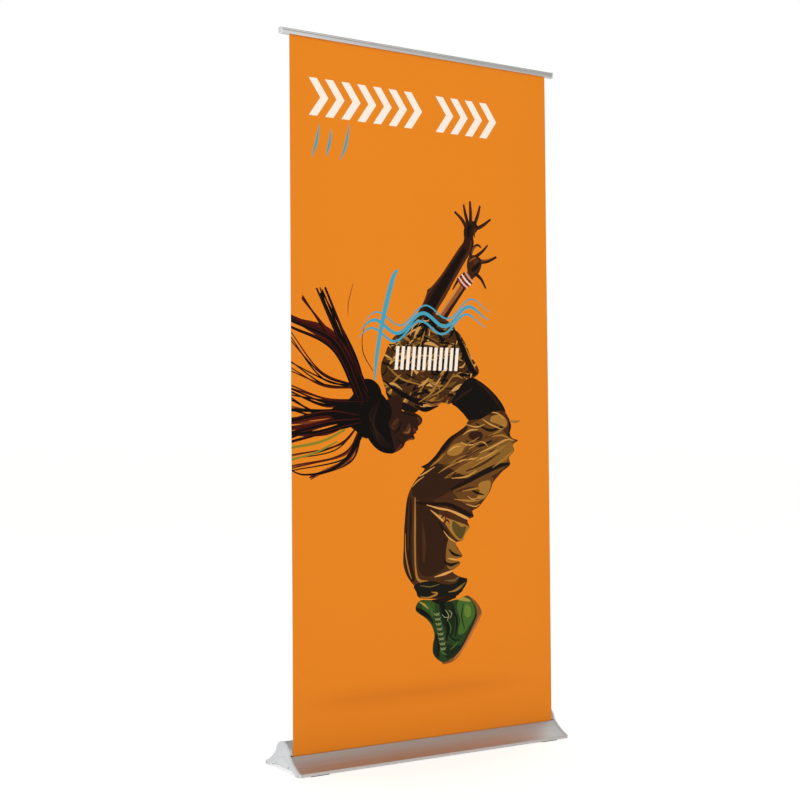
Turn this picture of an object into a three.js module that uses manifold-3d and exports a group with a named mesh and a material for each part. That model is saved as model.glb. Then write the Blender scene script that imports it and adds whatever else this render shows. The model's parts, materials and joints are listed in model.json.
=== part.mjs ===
// A roll-up banner stand: a sprung roller in an aluminium base, a printed film drawn up
// through its slot, a clamp rail on the film's top edge and a telescopic pole behind it.
// Sizes are in millimetres and angles in degrees. X runs along the base, the banner faces
// -Y and Z is up. The origin is on the floor under the middle of the base.

import * as THREE from 'three';
import { mergeVertices } from 'three/addons/utils/BufferGeometryUtils.js';
import Module from 'manifold-3d';

// ---------------------------------------------------------------- driving sizes

const gap = 0.3;                  // kept between pieces that touch or slide

// Film
const bannerWidth = 920;
const bannerHeight = 2050;        // in view, from the slot to the underside of the rail
const bannerLean = 30;            // how far its top stands behind its foot
const filmThickness = 0.5;
const filmInRail = 12;            // length held inside the rail
const filmInBase = 3;             // length below the slot, where the leader is joined on

// Base
const baseOverhang = 15;          // beyond the film at each end, over the end cap
const baseDepth = 210;            // over the end caps
const wall = 2;
const padThickness = 2;
const noseHeight = 11;            // top edge of the nose above the floor
const sweepRadius = 170;          // hollow curve from the nose up to the hump
const archHeight = 14;            // underside between the soles, above the floor
const soleWidth = 24;
const archRun = 16;               // the underside's slope, measured along Y
const humpRadius = 38.5;          // outside of the roller chamber
const humpFootAngle = 10.5;       // where the sweep meets the hump, above the roller's centre
const rollerHeight = 45;          // roller's centre above the floor
const slotWidth = 2.4;
const capThickness = 6;
const capRim = 1.2;               // how far a cap stands proud of the extrusion
const portRadius = 2.1;           // screw ports in the extrusion
const noseBlock = 12;             // solid end of the nose that holds a port

// Roller
const rollerRadius = 19;
const rollerWall = 1.4;
const leaderThickness = 1.3;      // the turns of leader left on the tube
const bossRadius = 10;
const bossLength = 3.5;
const plugFlange = 3;
const plugDepth = 20;
const bushRadius = 6.7;
const shaftRadius = 5;
const shaftReach = 205;           // spring shaft, from the inside of the end cap
const shaftSquare = 8;
const pinRadius = 4;
const pinReach = 26;
const springRadius = 11;
const springWire = 2.2;
const springTurns = 18;
const anchorLength = 15;
const lockHoleRadius = 2.2;
const lockHoleLand = 2.3;         // left between the roller's boss and the lock hole
const socketSkin = 2;             // left beyond the blind socket of the shaft or pin

// Top rail
const railOverhang = 30;          // beyond the film at each end, over the end cap
const railHeight = 17;
const railDepth = 16;
const railCapThickness = 4;
const railCapRim = 0.8;
const jawBeadRadius = 1.8;
const socketLip = 1.3;            // wall of the socket that holds the jaw's bead
const hangerWidth = 44;
const hangerDepth = 18;
const hangerDrop = 6;             // below the underside of the rail
const hangerRise = 16;            // above the underside of the rail
const hangerTop = 4;              // left over the end of the hanger's bore
const hangerPlate = 3;            // thickness of its ears

// Pole
const poleDiameter = 22;          // lower tube
const tubeWall = 1.2;
const tubeOverlap = 70;           // of each stage in the one below
const socketWall = 2.5;
const socketHeight = 30;          // depth of the bore
const socketStandoff = 3.7;       // from the roller chamber to the socket's neck
const poleFootRise = 2.3;         // foot of the pole above the socket's underside
const collarLength = 44;
const collarBelow = 18;           // length of a collar below the end of its tube
const collarWall = 4;
const headHeight = 11;
const headPlug = 18;              // length of the head held in the upper tube
const spigotRadius = 5;
const spigotHeight = 14;

// Screws
const screwRadius = 1.7;
const screwHeadRadius = 3.8;
const screwHeadHeight = 2.2;
const holeClearance = 0.4;        // on a screw's radius
const capScrewLength = 14;
const socketScrewLength = 7;
const hangerScrewLength = 9;

// ---------------------------------------------------------------- geometry helpers

const wasm = await Module();
wasm.setup();

const radians = THREE.MathUtils.degToRad;

function steps(count, make) {
  return Array.from({ length: count + 1 }, (_, i) => make(i / count));
}

// Points on an arc round [across, up], from one angle to the other.
function arc([across, up], radius, from, to, count) {
  return steps(count, (t) => {
    const angle = radians(THREE.MathUtils.lerp(from, to, t));
    return [across + radius * Math.cos(angle), up + radius * Math.sin(angle)];
  });
}

// Replaces each corner that carries a radius, as [across, up, radius], with an arc.
function rounded(corners, count = 4) {
  return corners.flatMap(([across, up, radius], i) => {
    if (!radius) return [[across, up]];
    const here = new THREE.Vector2(across, up);
    const side = (corner) => new THREE.Vector2(corner[0], corner[1]).sub(here).normalize();
    const back = side(corners.at(i - 1));
    const ahead = side(corners[(i + 1) % corners.length]);
    const half = Math.acos(back.dot(ahead)) / 2;
    const middle = back.clone().add(ahead).normalize();
    const centre = here.clone().addScaledVector(middle, radius / Math.sin(half));
    const start = back.multiplyScalar(radius / Math.tan(half)).add(here).sub(centre);
    const end = ahead.multiplyScalar(radius / Math.tan(half)).add(here).sub(centre);
    const turn = Math.atan2(start.cross(end), start.dot(end));
    return steps(count, (t) => {
      const point = start.clone().rotateAround(new THREE.Vector2(), turn * t).add(centre);
      return [point.x, point.y];
    });
  });
}

// A closed anticlockwise outline moved outwards by a distance, or inwards if it is negative.
function offset(points, distance) {
  return points.map((point, i) => {
    const here = new THREE.Vector2(...point);
    const before = here.clone().sub(new THREE.Vector2(...points.at(i - 1))).normalize();
    const after = new THREE.Vector2(...points[(i + 1) % points.length]).sub(here).normalize();
    const outwards = new THREE.Vector2(before.y + after.y, -before.x - after.x);
    outwards.multiplyScalar(distance / (1 + before.dot(after)));
    return [here.x + outwards.x, here.y + outwards.y];
  });
}

function toShape(points, holes = []) {
  const shape = new THREE.Shape(points.map((point) => new THREE.Vector2(...point)));
  shape.holes = holes.map((hole) => new THREE.Path(hole.map((p) => new THREE.Vector2(...p))));
  return shape;
}

function circle(centre, radius, count = 24) {
  return arc(centre, radius, 0, 360, count).slice(0, -1);
}

// Turns a piece so that its X, Y and Z become Y, Z and X.
function standAlongX(geometry) {
  return geometry.applyMatrix4(new THREE.Matrix4().makeBasis(
    new THREE.Vector3(0, 1, 0),
    new THREE.Vector3(0, 0, 1),
    new THREE.Vector3(1, 0, 0),
  ));
}

// A section drawn as [y, z], carried along X from x = start.
function alongX(shape, start, length) {
  const made = new THREE.ExtrudeGeometry(shape, { depth: length, bevelEnabled: false });
  return standAlongX(made).translate(start, 0, 0);
}

// A section drawn as [x, z], carried along Y from y = start.
function alongY(shape, start, length) {
  const made = new THREE.ExtrudeGeometry(shape, { depth: length, bevelEnabled: false });
  return made.rotateX(Math.PI / 2).translate(0, start + length, 0);
}

// A section drawn as [x, y], carried along Z from z = start.
function alongZ(shape, start, length) {
  const made = new THREE.ExtrudeGeometry(shape, { depth: length, bevelEnabled: false });
  return made.translate(0, 0, start);
}

// A profile of [radius, height] points turned about Z. Its outside is drawn going up.
function turned(profile, sides = 32) {
  const points = profile.map((point) => new THREE.Vector2(...point));
  return new THREE.LatheGeometry(points, sides).rotateX(Math.PI / 2);
}

function ring(inner, outer, from, to, sides = 32) {
  return turned([[inner, from], [outer, from], [outer, to], [inner, to], [inner, from]], sides);
}

function rod(radius, from, to, sides = 32) {
  return turned([[0, from], [radius, from], [radius, to], [0, to]], sides);
}

function toSolid(geometry) {
  const bare = geometry.clone();
  bare.deleteAttribute('normal');
  bare.deleteAttribute('uv');
  const merged = mergeVertices(bare, 1e-4);
  const corners = merged.index.array;
  const kept = [];
  for (let i = 0; i < corners.length; i += 3) {
    const [a, b, c] = corners.slice(i, i + 3);
    if (a !== b && b !== c && c !== a) kept.push(a, b, c);
  }
  const mesh = new wasm.Mesh({
    numProp: 3,
    vertProperties: merged.attributes.position.array,
    triVerts: new Uint32Array(kept),
  });
  return new wasm.Manifold(mesh);
}

function toGeometry(solid) {
  const { vertProperties, triVerts } = solid.getMesh();
  const geometry = new THREE.BufferGeometry();
  geometry.setAttribute('position', new THREE.BufferAttribute(vertProperties, 3));
  geometry.setIndex(new THREE.BufferAttribute(triVerts, 1));
  geometry.computeVertexNormals();
  return geometry;
}

function cut(geometry, tools) {
  return toGeometry(tools.reduce((left, tool) => left.subtract(toSolid(tool)), toSolid(geometry)));
}

function join(geometries) {
  return toGeometry(geometries.map(toSolid).reduce((whole, part) => whole.add(part)));
}

// ---------------------------------------------------------------- materials

function finish(color, roughness, metalness = 0) {
  return new THREE.MeshStandardMaterial({ color, roughness, metalness });
}

const anodised = finish(0xc4c6c9, 0.35, 1);
const brightTube = finish(0xcfd1d3, 0.28, 1);
const greyNylon = finish(0xe0e1e3, 0.5);
const blackNylon = finish(0x1d1e20, 0.5);
const blackRubber = finish(0x17171a, 0.85);
const zincSteel = finish(0xaeb1b4, 0.35, 1);
const springSteel = finish(0x4a4b4e, 0.4, 1);
const printedFilm = finish(0xe68523, 0.5);
const blankFilm = finish(0xe9e9e6, 0.5);

const stand = new THREE.Group();
stand.name = 'roll_up_banner_stand';

function add(name, geometry, material, parent = stand) {
  const mesh = new THREE.Mesh(geometry, material);
  mesh.name = name;
  parent.add(mesh);
  return mesh;
}

// ---------------------------------------------------------------- base section

const roller = [0, rollerHeight];
const baseLength = bannerWidth + 2 * baseOverhang;
const soleHeight = padThickness + gap;
const noseReach = baseDepth / 2 - capRim;
const soleInner = noseReach - soleWidth;
const archReach = soleInner - archRun;
const chamberRadius = humpRadius - wall;
const chamberFloor = archHeight + wall;
const frontWall = humpRadius + slotWidth;      // inside of the chamber's front wall
const capInside = baseLength / 2 - capThickness;
const housingEnd = capInside - gap;

// The sweep is one arc through the nose's top edge and the foot of the hump.
const [humpFoot] = arc(roller, humpRadius, humpFootAngle, humpFootAngle, 1);
const sweepCentre = (() => {
  const nose = new THREE.Vector2(noseReach, noseHeight);
  const foot = new THREE.Vector2(...humpFoot);
  const chord = foot.clone().sub(nose);
  const rise = Math.sqrt(sweepRadius ** 2 - chord.lengthSq() / 4);
  const up = new THREE.Vector2(chord.y, -chord.x).normalize();
  return nose.add(foot).multiplyScalar(0.5).addScaledVector(up, rise);
})();

function sweepHeight(reach) {
  return sweepCentre.y - Math.sqrt(sweepRadius ** 2 - (sweepCentre.x - reach) ** 2);
}

// Points on the sweep, side 1 at the rear and -1 at the front.
function sweep(side, from, to) {
  return steps(14, (t) => {
    const reach = THREE.MathUtils.lerp(from, to, t);
    return [side * reach, sweepHeight(reach)];
  });
}

const underside = [
  [-noseReach, soleHeight, 1.2],
  [-soleInner, soleHeight, 3],
  [-archReach, archHeight, 6],
  [archReach, archHeight, 6],
  [soleInner, soleHeight, 3],
  [noseReach, soleHeight, 1.2],
];

// The whole bell-shaped outline, which the end caps follow.
const bellOutline = rounded([
  ...underside,
  [noseReach, noseHeight, 1.6],
  ...sweep(1, noseReach, humpFoot[0]).slice(1),
  ...arc(roller, humpRadius, humpFootAngle, 180 - humpFootAngle, 30).slice(1, -1),
  ...sweep(-1, humpFoot[0], noseReach).slice(0, -1),
  [-noseReach, noseHeight, 1.6],
]);

// ---------------------------------------------------------------- base housing

// The front lip of the hump, which the film bends over on its way up.
const lipAngle = 172.5;
const portFillet = 9;                          // solid corner that holds a lower screw port
const lipOuter = arc(roller, humpRadius, lipAngle, lipAngle, 1)[0];
const lipInner = arc(roller, chamberRadius, lipAngle, lipAngle, 1)[0];

const housingOutline = rounded([
  ...underside,
  [noseReach, noseHeight, 1.6],
  ...sweep(1, noseReach, humpFoot[0]).slice(1),
  ...arc(roller, humpRadius, humpFootAngle, lipAngle, 30).slice(1, -1),
  [...lipOuter, 0.8],
  [...lipInner, 0.8],
  ...arc(roller, chamberRadius, lipAngle, 0, 28).slice(1),
  [chamberRadius, chamberFloor + portFillet],
  [chamberRadius - portFillet, chamberFloor],
  [-frontWall + portFillet, chamberFloor],
  [-frontWall, chamberFloor + portFillet],
  [-frontWall, sweepHeight(frontWall), 0.6],
  ...sweep(-1, frontWall, noseReach).slice(1, -1),
  [-noseReach, noseHeight, 1.6],
]);

// One hollow beside the chamber, from the chamber's wall out to the solid nose.
function sideHollow(side, chamberWall) {
  const outer = noseReach - noseBlock + wall;
  const half = [
    [chamberWall, archHeight],
    [archReach, archHeight],
    [soleInner, soleHeight],
    [outer, soleHeight],
    ...sweep(1, outer, chamberWall),
  ];
  const hollow = offset(half, -wall);
  return side > 0 ? hollow : hollow.map(([reach, up]) => [-reach, up]);
}

const nosePort = noseReach - noseBlock / 2;
const portInset = 2;
const ports = [
  [-nosePort, (soleHeight + noseHeight) / 2],
  [-frontWall + portInset, chamberFloor + portInset],
  [chamberRadius - portInset, chamberFloor + portInset],
  [nosePort, (soleHeight + noseHeight) / 2],
];

// Place of the pole: its foot stands in the socket, its head is behind the rail.
const poleRadius = poleDiameter / 2;
const socketBore = poleRadius + gap;
const socketRadius = socketBore + socketWall;
const socketY = humpRadius + socketRadius + socketStandoff;
const slotY = lipOuter[0] - gap - filmThickness / 2;
const slotZ = lipOuter[1];
const railY = slotY + bannerLean;              // film's plane at the rail
const railZ = slotZ + bannerHeight;            // underside of the rail
const railBack = railY + railDepth / 2;
const hangerFront = railBack + gap;
const poleHeadY = hangerFront + hangerDepth / 2;
const poleFootZ = chamberFloor + gap + poleFootRise;
const poleAngle = Math.atan2(socketY - poleHeadY, railZ - poleFootZ);
const poleLength = Math.hypot(socketY - poleHeadY, railZ - poleFootZ);

function onPole(geometry) {
  return geometry.rotateX(poleAngle).translate(0, socketY, poleFootZ);
}

const socketScrewX = 18.5;
const socketBlock = { half: 24, from: socketY - 14, to: socketY + 6, height: 6 };
const socketScrewY = socketY - 4;

const housingSection = toShape(housingOutline, [
  sideHollow(-1, frontWall),
  sideHollow(1, chamberRadius),
  ...ports.map((port) => circle(port, portRadius, 12)),
]);
const topHole = onPole(rod(socketRadius + gap, 2, 2 * socketHeight));
const socketScrews = [-socketScrewX, socketScrewX];
const screwHoles = socketScrews.map((x) =>
  rod(screwRadius + holeClearance, archHeight - 1, chamberFloor + 0.5, 16)
    .translate(x, socketScrewY, 0));
add('base_housing', cut(
  alongX(housingSection, -housingEnd, 2 * housingEnd),
  [topHole, ...screwHoles],
), anodised);

// ---------------------------------------------------------------- end caps

// A plate across one end of a bar, side 1 at +X and -1 at -X, rounded round its outer edge.
function endPlate(outline, side, inside, thickness, bevel) {
  const blank = new THREE.ExtrudeGeometry(toShape(outline), {
    depth: thickness - bevel,
    bevelThickness: bevel,
    bevelSize: bevel,
    bevelOffset: -bevel,
    bevelSegments: 2,
  });
  standAlongX(blank).translate(side > 0 ? inside : -inside - thickness + bevel, 0, 0);
  const beyond = atEnd(side, toShape(offset(outline, 2 * bevel)), inside - 2 * bevel, inside);
  return cut(blank, [beyond]);
}

// A section carried along X between two distances from the middle of the stand.
function atEnd(side, shape, from, to) {
  return alongX(shape, side > 0 ? from : -to, to - from);
}

// A piece turned about Z, laid along X with its top towards the end on that side.
function lying(side, geometry, [y, z] = roller) {
  return geometry.rotateY(side * Math.PI / 2).translate(0, y, z);
}

function square(centre, width) {
  return circle(centre, width / Math.SQRT2, 4).map(([y, z]) => {
    const point = new THREE.Vector2(y, z).rotateAround(new THREE.Vector2(...centre), Math.PI / 4);
    return [point.x, point.y];
  });
}

const capOutline = offset(bellOutline, capRim);
const capBevel = 1;
const capFace = capInside + capThickness;
const headSeat = capFace - screwHeadHeight - 2 * gap;
const socketBottom = capFace - socketSkin;     // blind end of the socket for a shaft or pin
const lockHole = [-bossRadius - lockHoleRadius - lockHoleLand, rollerHeight];

function endCap(side, socket, extraHoles) {
  const plate = endPlate(capOutline, side, capInside, capThickness, capBevel);
  const boss = lying(side, rod(bossRadius, capInside - bossLength, capInside + 1));
  const screwHoles = ports.flatMap((port) => [
    lying(side, rod(screwRadius + holeClearance, capInside - 1, capFace, 12), port),
    lying(side, rod(screwHeadRadius + holeClearance, headSeat, capFace + 1, 20), port),
  ]);
  const shaftSocket = atEnd(side, toShape(socket), capInside - bossLength - 1, socketBottom);
  return cut(join([plate, boss]), [shaftSocket, ...screwHoles, ...extraHoles]);
}

add('end_cap_left', endCap(-1, square(roller, shaftSquare + 2 * gap), [
  lying(-1, rod(lockHoleRadius, capInside - 1, capFace + 1, 16), lockHole),
]), greyNylon);
add('end_cap_right', endCap(1, circle(roller, pinRadius + gap), []), greyNylon);

// A cross-head screw, its shank along -Z from the underside of the head.
function screw(length) {
  const blank = turned([
    [0, -length],
    [screwRadius, -length + 1.5],
    [screwRadius, 0],
    [screwHeadRadius, 0],
    [screwHeadRadius, 0.55 * screwHeadHeight],
    [0.75 * screwHeadRadius, screwHeadHeight],
    [0, screwHeadHeight],
  ], 12);
  const [narrow, long, deep] = [1.1, 4.6, 2.4];
  const recess = [[narrow, long, deep], [long, narrow, deep]].map((size) =>
    new THREE.BoxGeometry(...size).translate(0, 0, screwHeadHeight));
  return cut(blank, recess);
}

for (const [side, name] of [[-1, 'left'], [1, 'right']]) {
  ports.forEach((port, i) => {
    const made = screw(capScrewLength).translate(0, 0, headSeat + gap);
    add(`cap_screw_${name}_${i + 1}`, lying(side, made, port), zincSteel);
  });
}

// ---------------------------------------------------------------- feet and pole socket

const padLength = 60;
const padWidth = 18;
const padCorner = 5;
const padInset = 70;                           // from the end of the base to a pad's middle
const padX = baseLength / 2 - padInset;
const padY = noseReach - soleWidth / 2;
const padOutline = rounded([
  [-padLength / 2, -padWidth / 2, padCorner],
  [padLength / 2, -padWidth / 2, padCorner],
  [padLength / 2, padWidth / 2, padCorner],
  [-padLength / 2, padWidth / 2, padCorner],
]);
for (const [x, xName] of [[-padX, 'left'], [padX, 'right']]) {
  for (const [y, yName] of [[-padY, 'front'], [padY, 'rear']]) {
    const pad = alongZ(toShape(padOutline), 0, padThickness).translate(x, y, 0);
    add(`foot_pad_${yName}_${xName}`, pad, blackRubber);
  }
}

const socketFloor = chamberFloor + gap;
const blockOutline = rounded([
  [-socketBlock.half, socketBlock.from, 3],
  [socketBlock.half, socketBlock.from, 3],
  [socketBlock.half, socketBlock.to, 3],
  [-socketBlock.half, socketBlock.to, 3],
]);
const socketNeck = onPole(turned([
  [0, 1 - socketWall],
  [socketRadius, 1 - socketWall],
  [socketRadius, socketHeight - 1],
  [socketRadius - 1, socketHeight],
  [0, socketHeight],
]));
add('pole_socket', cut(
  join([alongZ(toShape(blockOutline), socketFloor, socketBlock.height), socketNeck]),
  [
    onPole(rod(socketBore, -gap, socketHeight + 1)),
    ...socketScrews.map((x) => rod(
      screwRadius + holeClearance,
      socketFloor - 1,
      archHeight + socketScrewLength,
      16,
    ).translate(x, socketScrewY, 0)),
  ],
), blackNylon);
socketScrews.forEach((x, i) => {
  const made = screw(socketScrewLength).rotateX(Math.PI).translate(x, socketScrewY, archHeight - gap);
  add(`socket_screw_${i + 1}`, made, zincSteel);
});

// ---------------------------------------------------------------- roller

const plugOuter = capInside - bossLength - 1;
const tubeEnd = plugOuter - plugFlange - gap;
const plugInner = tubeEnd - plugDepth;
const tubeBore = rollerRadius - rollerWall;
const bushInset = 0.5;                         // its end below the plug's face

add('roller_tube', lying(1, ring(tubeBore, rollerRadius, -tubeEnd, tubeEnd, 40)), anodised);

function rollerPlug(side) {
  return lying(side, turned([
    [bushRadius + gap, plugInner],
    [tubeBore - gap, plugInner],
    [tubeBore - gap, plugOuter - plugFlange],
    [rollerRadius, plugOuter - plugFlange],
    [rollerRadius, plugOuter],
    [bushRadius + gap, plugOuter],
    [bushRadius + gap, plugInner],
  ], 32));
}

const plugLockHole = lying(-1, rod(lockHoleRadius, plugInner - 1, plugOuter + 1, 16), lockHole);
add('roller_plug_left', cut(rollerPlug(-1), [plugLockHole]), blackNylon);
add('roller_plug_right', rollerPlug(1), blackNylon);
for (const [side, name, inner] of [[-1, 'left', shaftRadius], [1, 'right', pinRadius]]) {
  const bush = ring(inner + gap, bushRadius, plugInner + 1, plugOuter - bushInset);
  add(`bush_${name}`, lying(side, bush), greyNylon);
}

const shaftEnd = capInside - shaftReach;
const shaftShoulder = capInside - bossLength - gap;
add('spring_shaft', join([
  lying(-1, rod(shaftRadius, shaftEnd, shaftShoulder)),
  atEnd(-1, toShape(square(roller, shaftSquare)), shaftShoulder - 1, socketBottom - gap),
]), zincSteel);
add('idler_pin', lying(1, rod(pinRadius, capInside - pinReach, socketBottom - gap)), zincSteel);

const anchorSetback = 5;                       // from the end of the shaft
const anchorFrom = shaftEnd + anchorSetback;
const anchorTo = anchorFrom + anchorLength;
const anchorRadius = springRadius + springWire;
add('spring_anchor', lying(-1, turned([
  [shaftRadius + gap, anchorFrom],
  [anchorRadius - 2, anchorFrom],
  [anchorRadius, anchorFrom + 2],
  [anchorRadius, anchorTo],
  [shaftRadius + gap, anchorTo],
  [shaftRadius + gap, anchorFrom],
])), blackNylon);

class Helix extends THREE.Curve {
  constructor(radius, from, to, turns) {
    super();
    Object.assign(this, { radius, from, to, turns });
  }

  getPoint(t, target = new THREE.Vector3()) {
    const angle = 2 * Math.PI * this.turns * t;
    const height = THREE.MathUtils.lerp(this.from, this.to, t);
    return target.set(this.radius * Math.cos(angle), this.radius * Math.sin(angle), height);
  }
}

const springFrom = anchorTo + gap + springWire / 2;
const springTo = plugInner - gap - springWire / 2;
const springCoil = new THREE.ExtrudeGeometry(toShape(circle([0, 0], springWire / 2, 6)), {
  steps: 10 * springTurns,
  extrudePath: new Helix(springRadius, springFrom, springTo, springTurns),
});
add('torsion_spring', lying(-1, springCoil), springSteel);

// ---------------------------------------------------------------- leader and film

const leaderRadius = rollerRadius + gap + leaderThickness;
const leader = ring(rollerRadius + gap, leaderRadius, -bannerWidth / 2, bannerWidth / 2, 40);
add('wound_leader', lying(1, leader), blankFilm);

// A flat strip that follows an open path of [y, z] points, carried along X.
function strip(path, thickness, width) {
  const side = (distance) => path.map((point, i) => {
    const before = new THREE.Vector2(...path[Math.max(i - 1, 0)]);
    const after = new THREE.Vector2(...path[Math.min(i + 1, path.length - 1)]);
    const along = after.sub(before).normalize();
    return [point[0] - along.y * distance, point[1] + along.x * distance];
  });
  const outline = [...side(thickness / 2), ...side(-thickness / 2).reverse()];
  return alongX(toShape(outline), -width / 2, width);
}

// The leader runs from below the slot to the underside of the roller and a little round it.
const stripTop = [slotY, slotZ - filmInBase - gap - filmThickness / 2];
const stripRadius = leaderRadius + gap + filmThickness / 2;
const toStrip = new THREE.Vector2(stripTop[0] - roller[0], stripTop[1] - roller[1]);
const tangentAngle = THREE.MathUtils.radToDeg(
  toStrip.angle() + Math.acos(stripRadius / toStrip.length()),
);
const stripPath = [stripTop, ...arc(roller, stripRadius, tangentAngle, tangentAngle + 60, 8)];
add('leader_strip', strip(stripPath, filmThickness, bannerWidth), blankFilm);

function filmAt(z) {
  return [slotY + bannerLean * (z - slotZ) / bannerHeight, z];
}

const filmPath = [filmAt(slotZ - filmInBase), filmAt(railZ + filmInRail)];
add('banner_graphic', strip(filmPath, filmThickness, bannerWidth), printedFilm);

// ---------------------------------------------------------------- top rail

// The rail's sections are drawn from the film's plane and the rail's underside.
function atRail(points) {
  const [plane] = filmAt(railZ + filmInRail / 2);
  return points.map(([across, up, ...radius]) => [plane + across, railZ + up, ...radius]);
}

const railLength = bannerWidth + 2 * railOverhang;
const railHalf = railDepth / 2;
const railWall = 1.7;
const beadSocket = jawBeadRadius + gap;
const beadSocketOuter = beadSocket + socketLip;
const bead = [-railHalf + beadSocketOuter, railHeight - beadSocketOuter];
const topUnder = railHeight - railWall;
const topUnderAngle = THREE.MathUtils.radToDeg(Math.asin((topUnder - bead[1]) / beadSocketOuter));
const gripFace = filmThickness / 2 + gap + 0.1;
const armTop = 9.2;                            // bottom block of the rail, which holds the grip
const armFront = 1;
const gripSeat = { back: 3.4, bottom: 1.5, top: 7.6 };
const railInside = railLength / 2 - railCapThickness;
const railEnd = railInside - gap;

const railSection = rounded([
  [armFront, 0],
  [railHalf, 0, 0.6],
  [railHalf, railHeight, 1.5],
  ...arc(bead, beadSocketOuter, 90, 210, 10),
  ...arc(bead, beadSocket, 210, -64, 20),
  ...arc(bead, beadSocketOuter, -64, topUnderAngle, 8),
  [railHalf - railWall, topUnder, 1],
  [railHalf - railWall, armTop],
  [armFront, armTop],
  [armFront, gripSeat.top],
  [gripSeat.back, gripSeat.top],
  [gripSeat.back, gripSeat.bottom],
  [armFront, gripSeat.bottom],
]);
const armWall = 1.4;
const armHollow = [
  [gripSeat.back + armWall, armWall],
  [railHalf - armWall, armWall],
  [railHalf - armWall, armTop - armWall],
  [gripSeat.back + armWall, armTop - armWall],
];
const hangerScrewX = 16.5;
const hangerScrewZ = railZ + 12;
const hangerScrews = [-hangerScrewX, hangerScrewX];

// A rod along Y, its top towards the rear.
function acrossRail(radius, from, to, x) {
  return rod(radius, from, to, 16).rotateX(-Math.PI / 2).translate(x, 0, hangerScrewZ);
}

add('rail_body', cut(
  alongX(toShape(atRail(railSection), [atRail(armHollow)]), -railEnd, 2 * railEnd),
  hangerScrews.map((x) => acrossRail(
    screwRadius + holeClearance,
    railBack - railWall - 1,
    railBack + 1,
    x,
  )),
), anodised);

const gripSection = [
  [gripFace, gripSeat.bottom + gap],
  [gripSeat.back - gap, gripSeat.bottom + gap],
  [gripSeat.back - gap, gripSeat.top - gap],
  [gripFace, gripSeat.top - gap],
  [gripFace + 0.4, 5.9],
  [gripFace, 5.2],
  [gripFace + 0.4, 4.5],
  [gripFace, 3.8],
  [gripFace + 0.4, 3.1],
];
add('grip_strip', alongX(toShape(atRail(gripSection)), -railEnd, 2 * railEnd), blackRubber);

const neckHalf = 0.6;
const neckAngle = THREE.MathUtils.radToDeg(Math.asin(neckHalf / jawBeadRadius));
const jawTop = bead[1] - beadSocketOuter - 0.7;
const jawSection = rounded([
  ...arc(bead, jawBeadRadius, -90 + neckAngle, 270 - neckAngle, 20),
  [bead[0] - neckHalf, jawTop],
  [-railHalf, jawTop, 0.7],
  [-railHalf, 0, 0.9],
  [-gripFace - 0.8, 0],
  [-gripFace, 1],
  [-gripFace, 2.6],
  [-gripFace - 0.8, 3.4],
  [-railHalf + railWall, 3.4],
  [-railHalf + railWall, jawTop - 1.5],
  [bead[0] + neckHalf, jawTop - 1.5],
]);
add('rail_jaw', alongX(toShape(atRail(jawSection)), -railEnd, 2 * railEnd), anodised);

const railCapOutline = offset(rounded([
  [-railHalf, 0, 2],
  [railHalf, 0, 2],
  [railHalf, railHeight, 2],
  [-railHalf, railHeight, 2],
]), railCapRim);
const tongueLength = 12;
const tongue = [
  [bead[0] + beadSocketOuter + 2 * gap, armTop + gap],
  [railHalf - railWall - gap, armTop + gap],
  [railHalf - railWall - gap, topUnder - 2 * gap],
  [bead[0] + beadSocketOuter + 2 * gap, topUnder - 2 * gap],
];
for (const [side, name] of [[-1, 'left'], [1, 'right']]) {
  const plate = endPlate(atRail(railCapOutline), side, railInside, railCapThickness, 0.8);
  const key = atEnd(side, toShape(atRail(tongue)), railInside - tongueLength, railInside + 1);
  add(`rail_cap_${name}`, join([plate, key]), greyNylon);
}

// The hanger is a block with a bore that drops over the pole's head, and an ear at each side.
const earHang = 5;                             // of an ear below its screw
const hangerTopOfBore = poleLength + hangerRise - hangerTop;
const hangerBlock = rounded([
  [-hangerWidth / 4, hangerFront],
  [hangerWidth / 4, hangerFront],
  [hangerWidth / 4, hangerFront + hangerDepth, 5],
  [-hangerWidth / 4, hangerFront + hangerDepth, 5],
]);
const hangerEars = rounded([
  [-hangerWidth / 2, hangerScrewZ - earHang, 2],
  [hangerWidth / 2, hangerScrewZ - earHang, 2],
  [hangerWidth / 2, railZ + hangerRise, 2],
  [-hangerWidth / 2, railZ + hangerRise, 2],
]);
add('rail_hanger', cut(
  join([
    alongZ(toShape(hangerBlock), railZ - hangerDrop, hangerDrop + hangerRise),
    alongY(toShape(hangerEars), hangerFront, hangerPlate),
  ]),
  [
    onPole(rod(spigotRadius + gap, poleLength - 2 * hangerDrop, hangerTopOfBore)),
    ...hangerScrews.map((x) => acrossRail(
      screwRadius + holeClearance,
      hangerFront - 1,
      hangerFront + hangerPlate + 1,
      x,
    )),
  ],
), blackNylon);
hangerScrews.forEach((x, i) => {
  const made = screw(hangerScrewLength).rotateX(-Math.PI / 2);
  made.translate(x, hangerFront + hangerPlate + gap, hangerScrewZ);
  add(`hanger_screw_${i + 1}`, made, zincSteel);
});

// ---------------------------------------------------------------- pole

// Heights in this group run up the pole from its foot.
const pole = new THREE.Group();
pole.position.set(0, socketY, poleFootZ);
pole.rotation.x = poleAngle;
stand.add(pole);

const middleRadius = poleRadius - tubeWall - gap;
const upperRadius = middleRadius - tubeWall - gap;
const footFlange = 2;
const headTop = poleLength - hangerDrop - 2 * gap;
const headBottom = headTop - headHeight;
const lowerBottom = footFlange + gap;
const upperTop = headBottom - gap;
const stageLength = (upperTop - lowerBottom + 2 * tubeOverlap) / 3;
const lowerTop = lowerBottom + stageLength;
const middleBottom = lowerTop - tubeOverlap;
const middleTop = middleBottom + stageLength;
const upperBottom = middleTop - tubeOverlap;

function tube(radius, from, to) {
  return ring(radius - tubeWall, radius, from, to);
}

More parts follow.
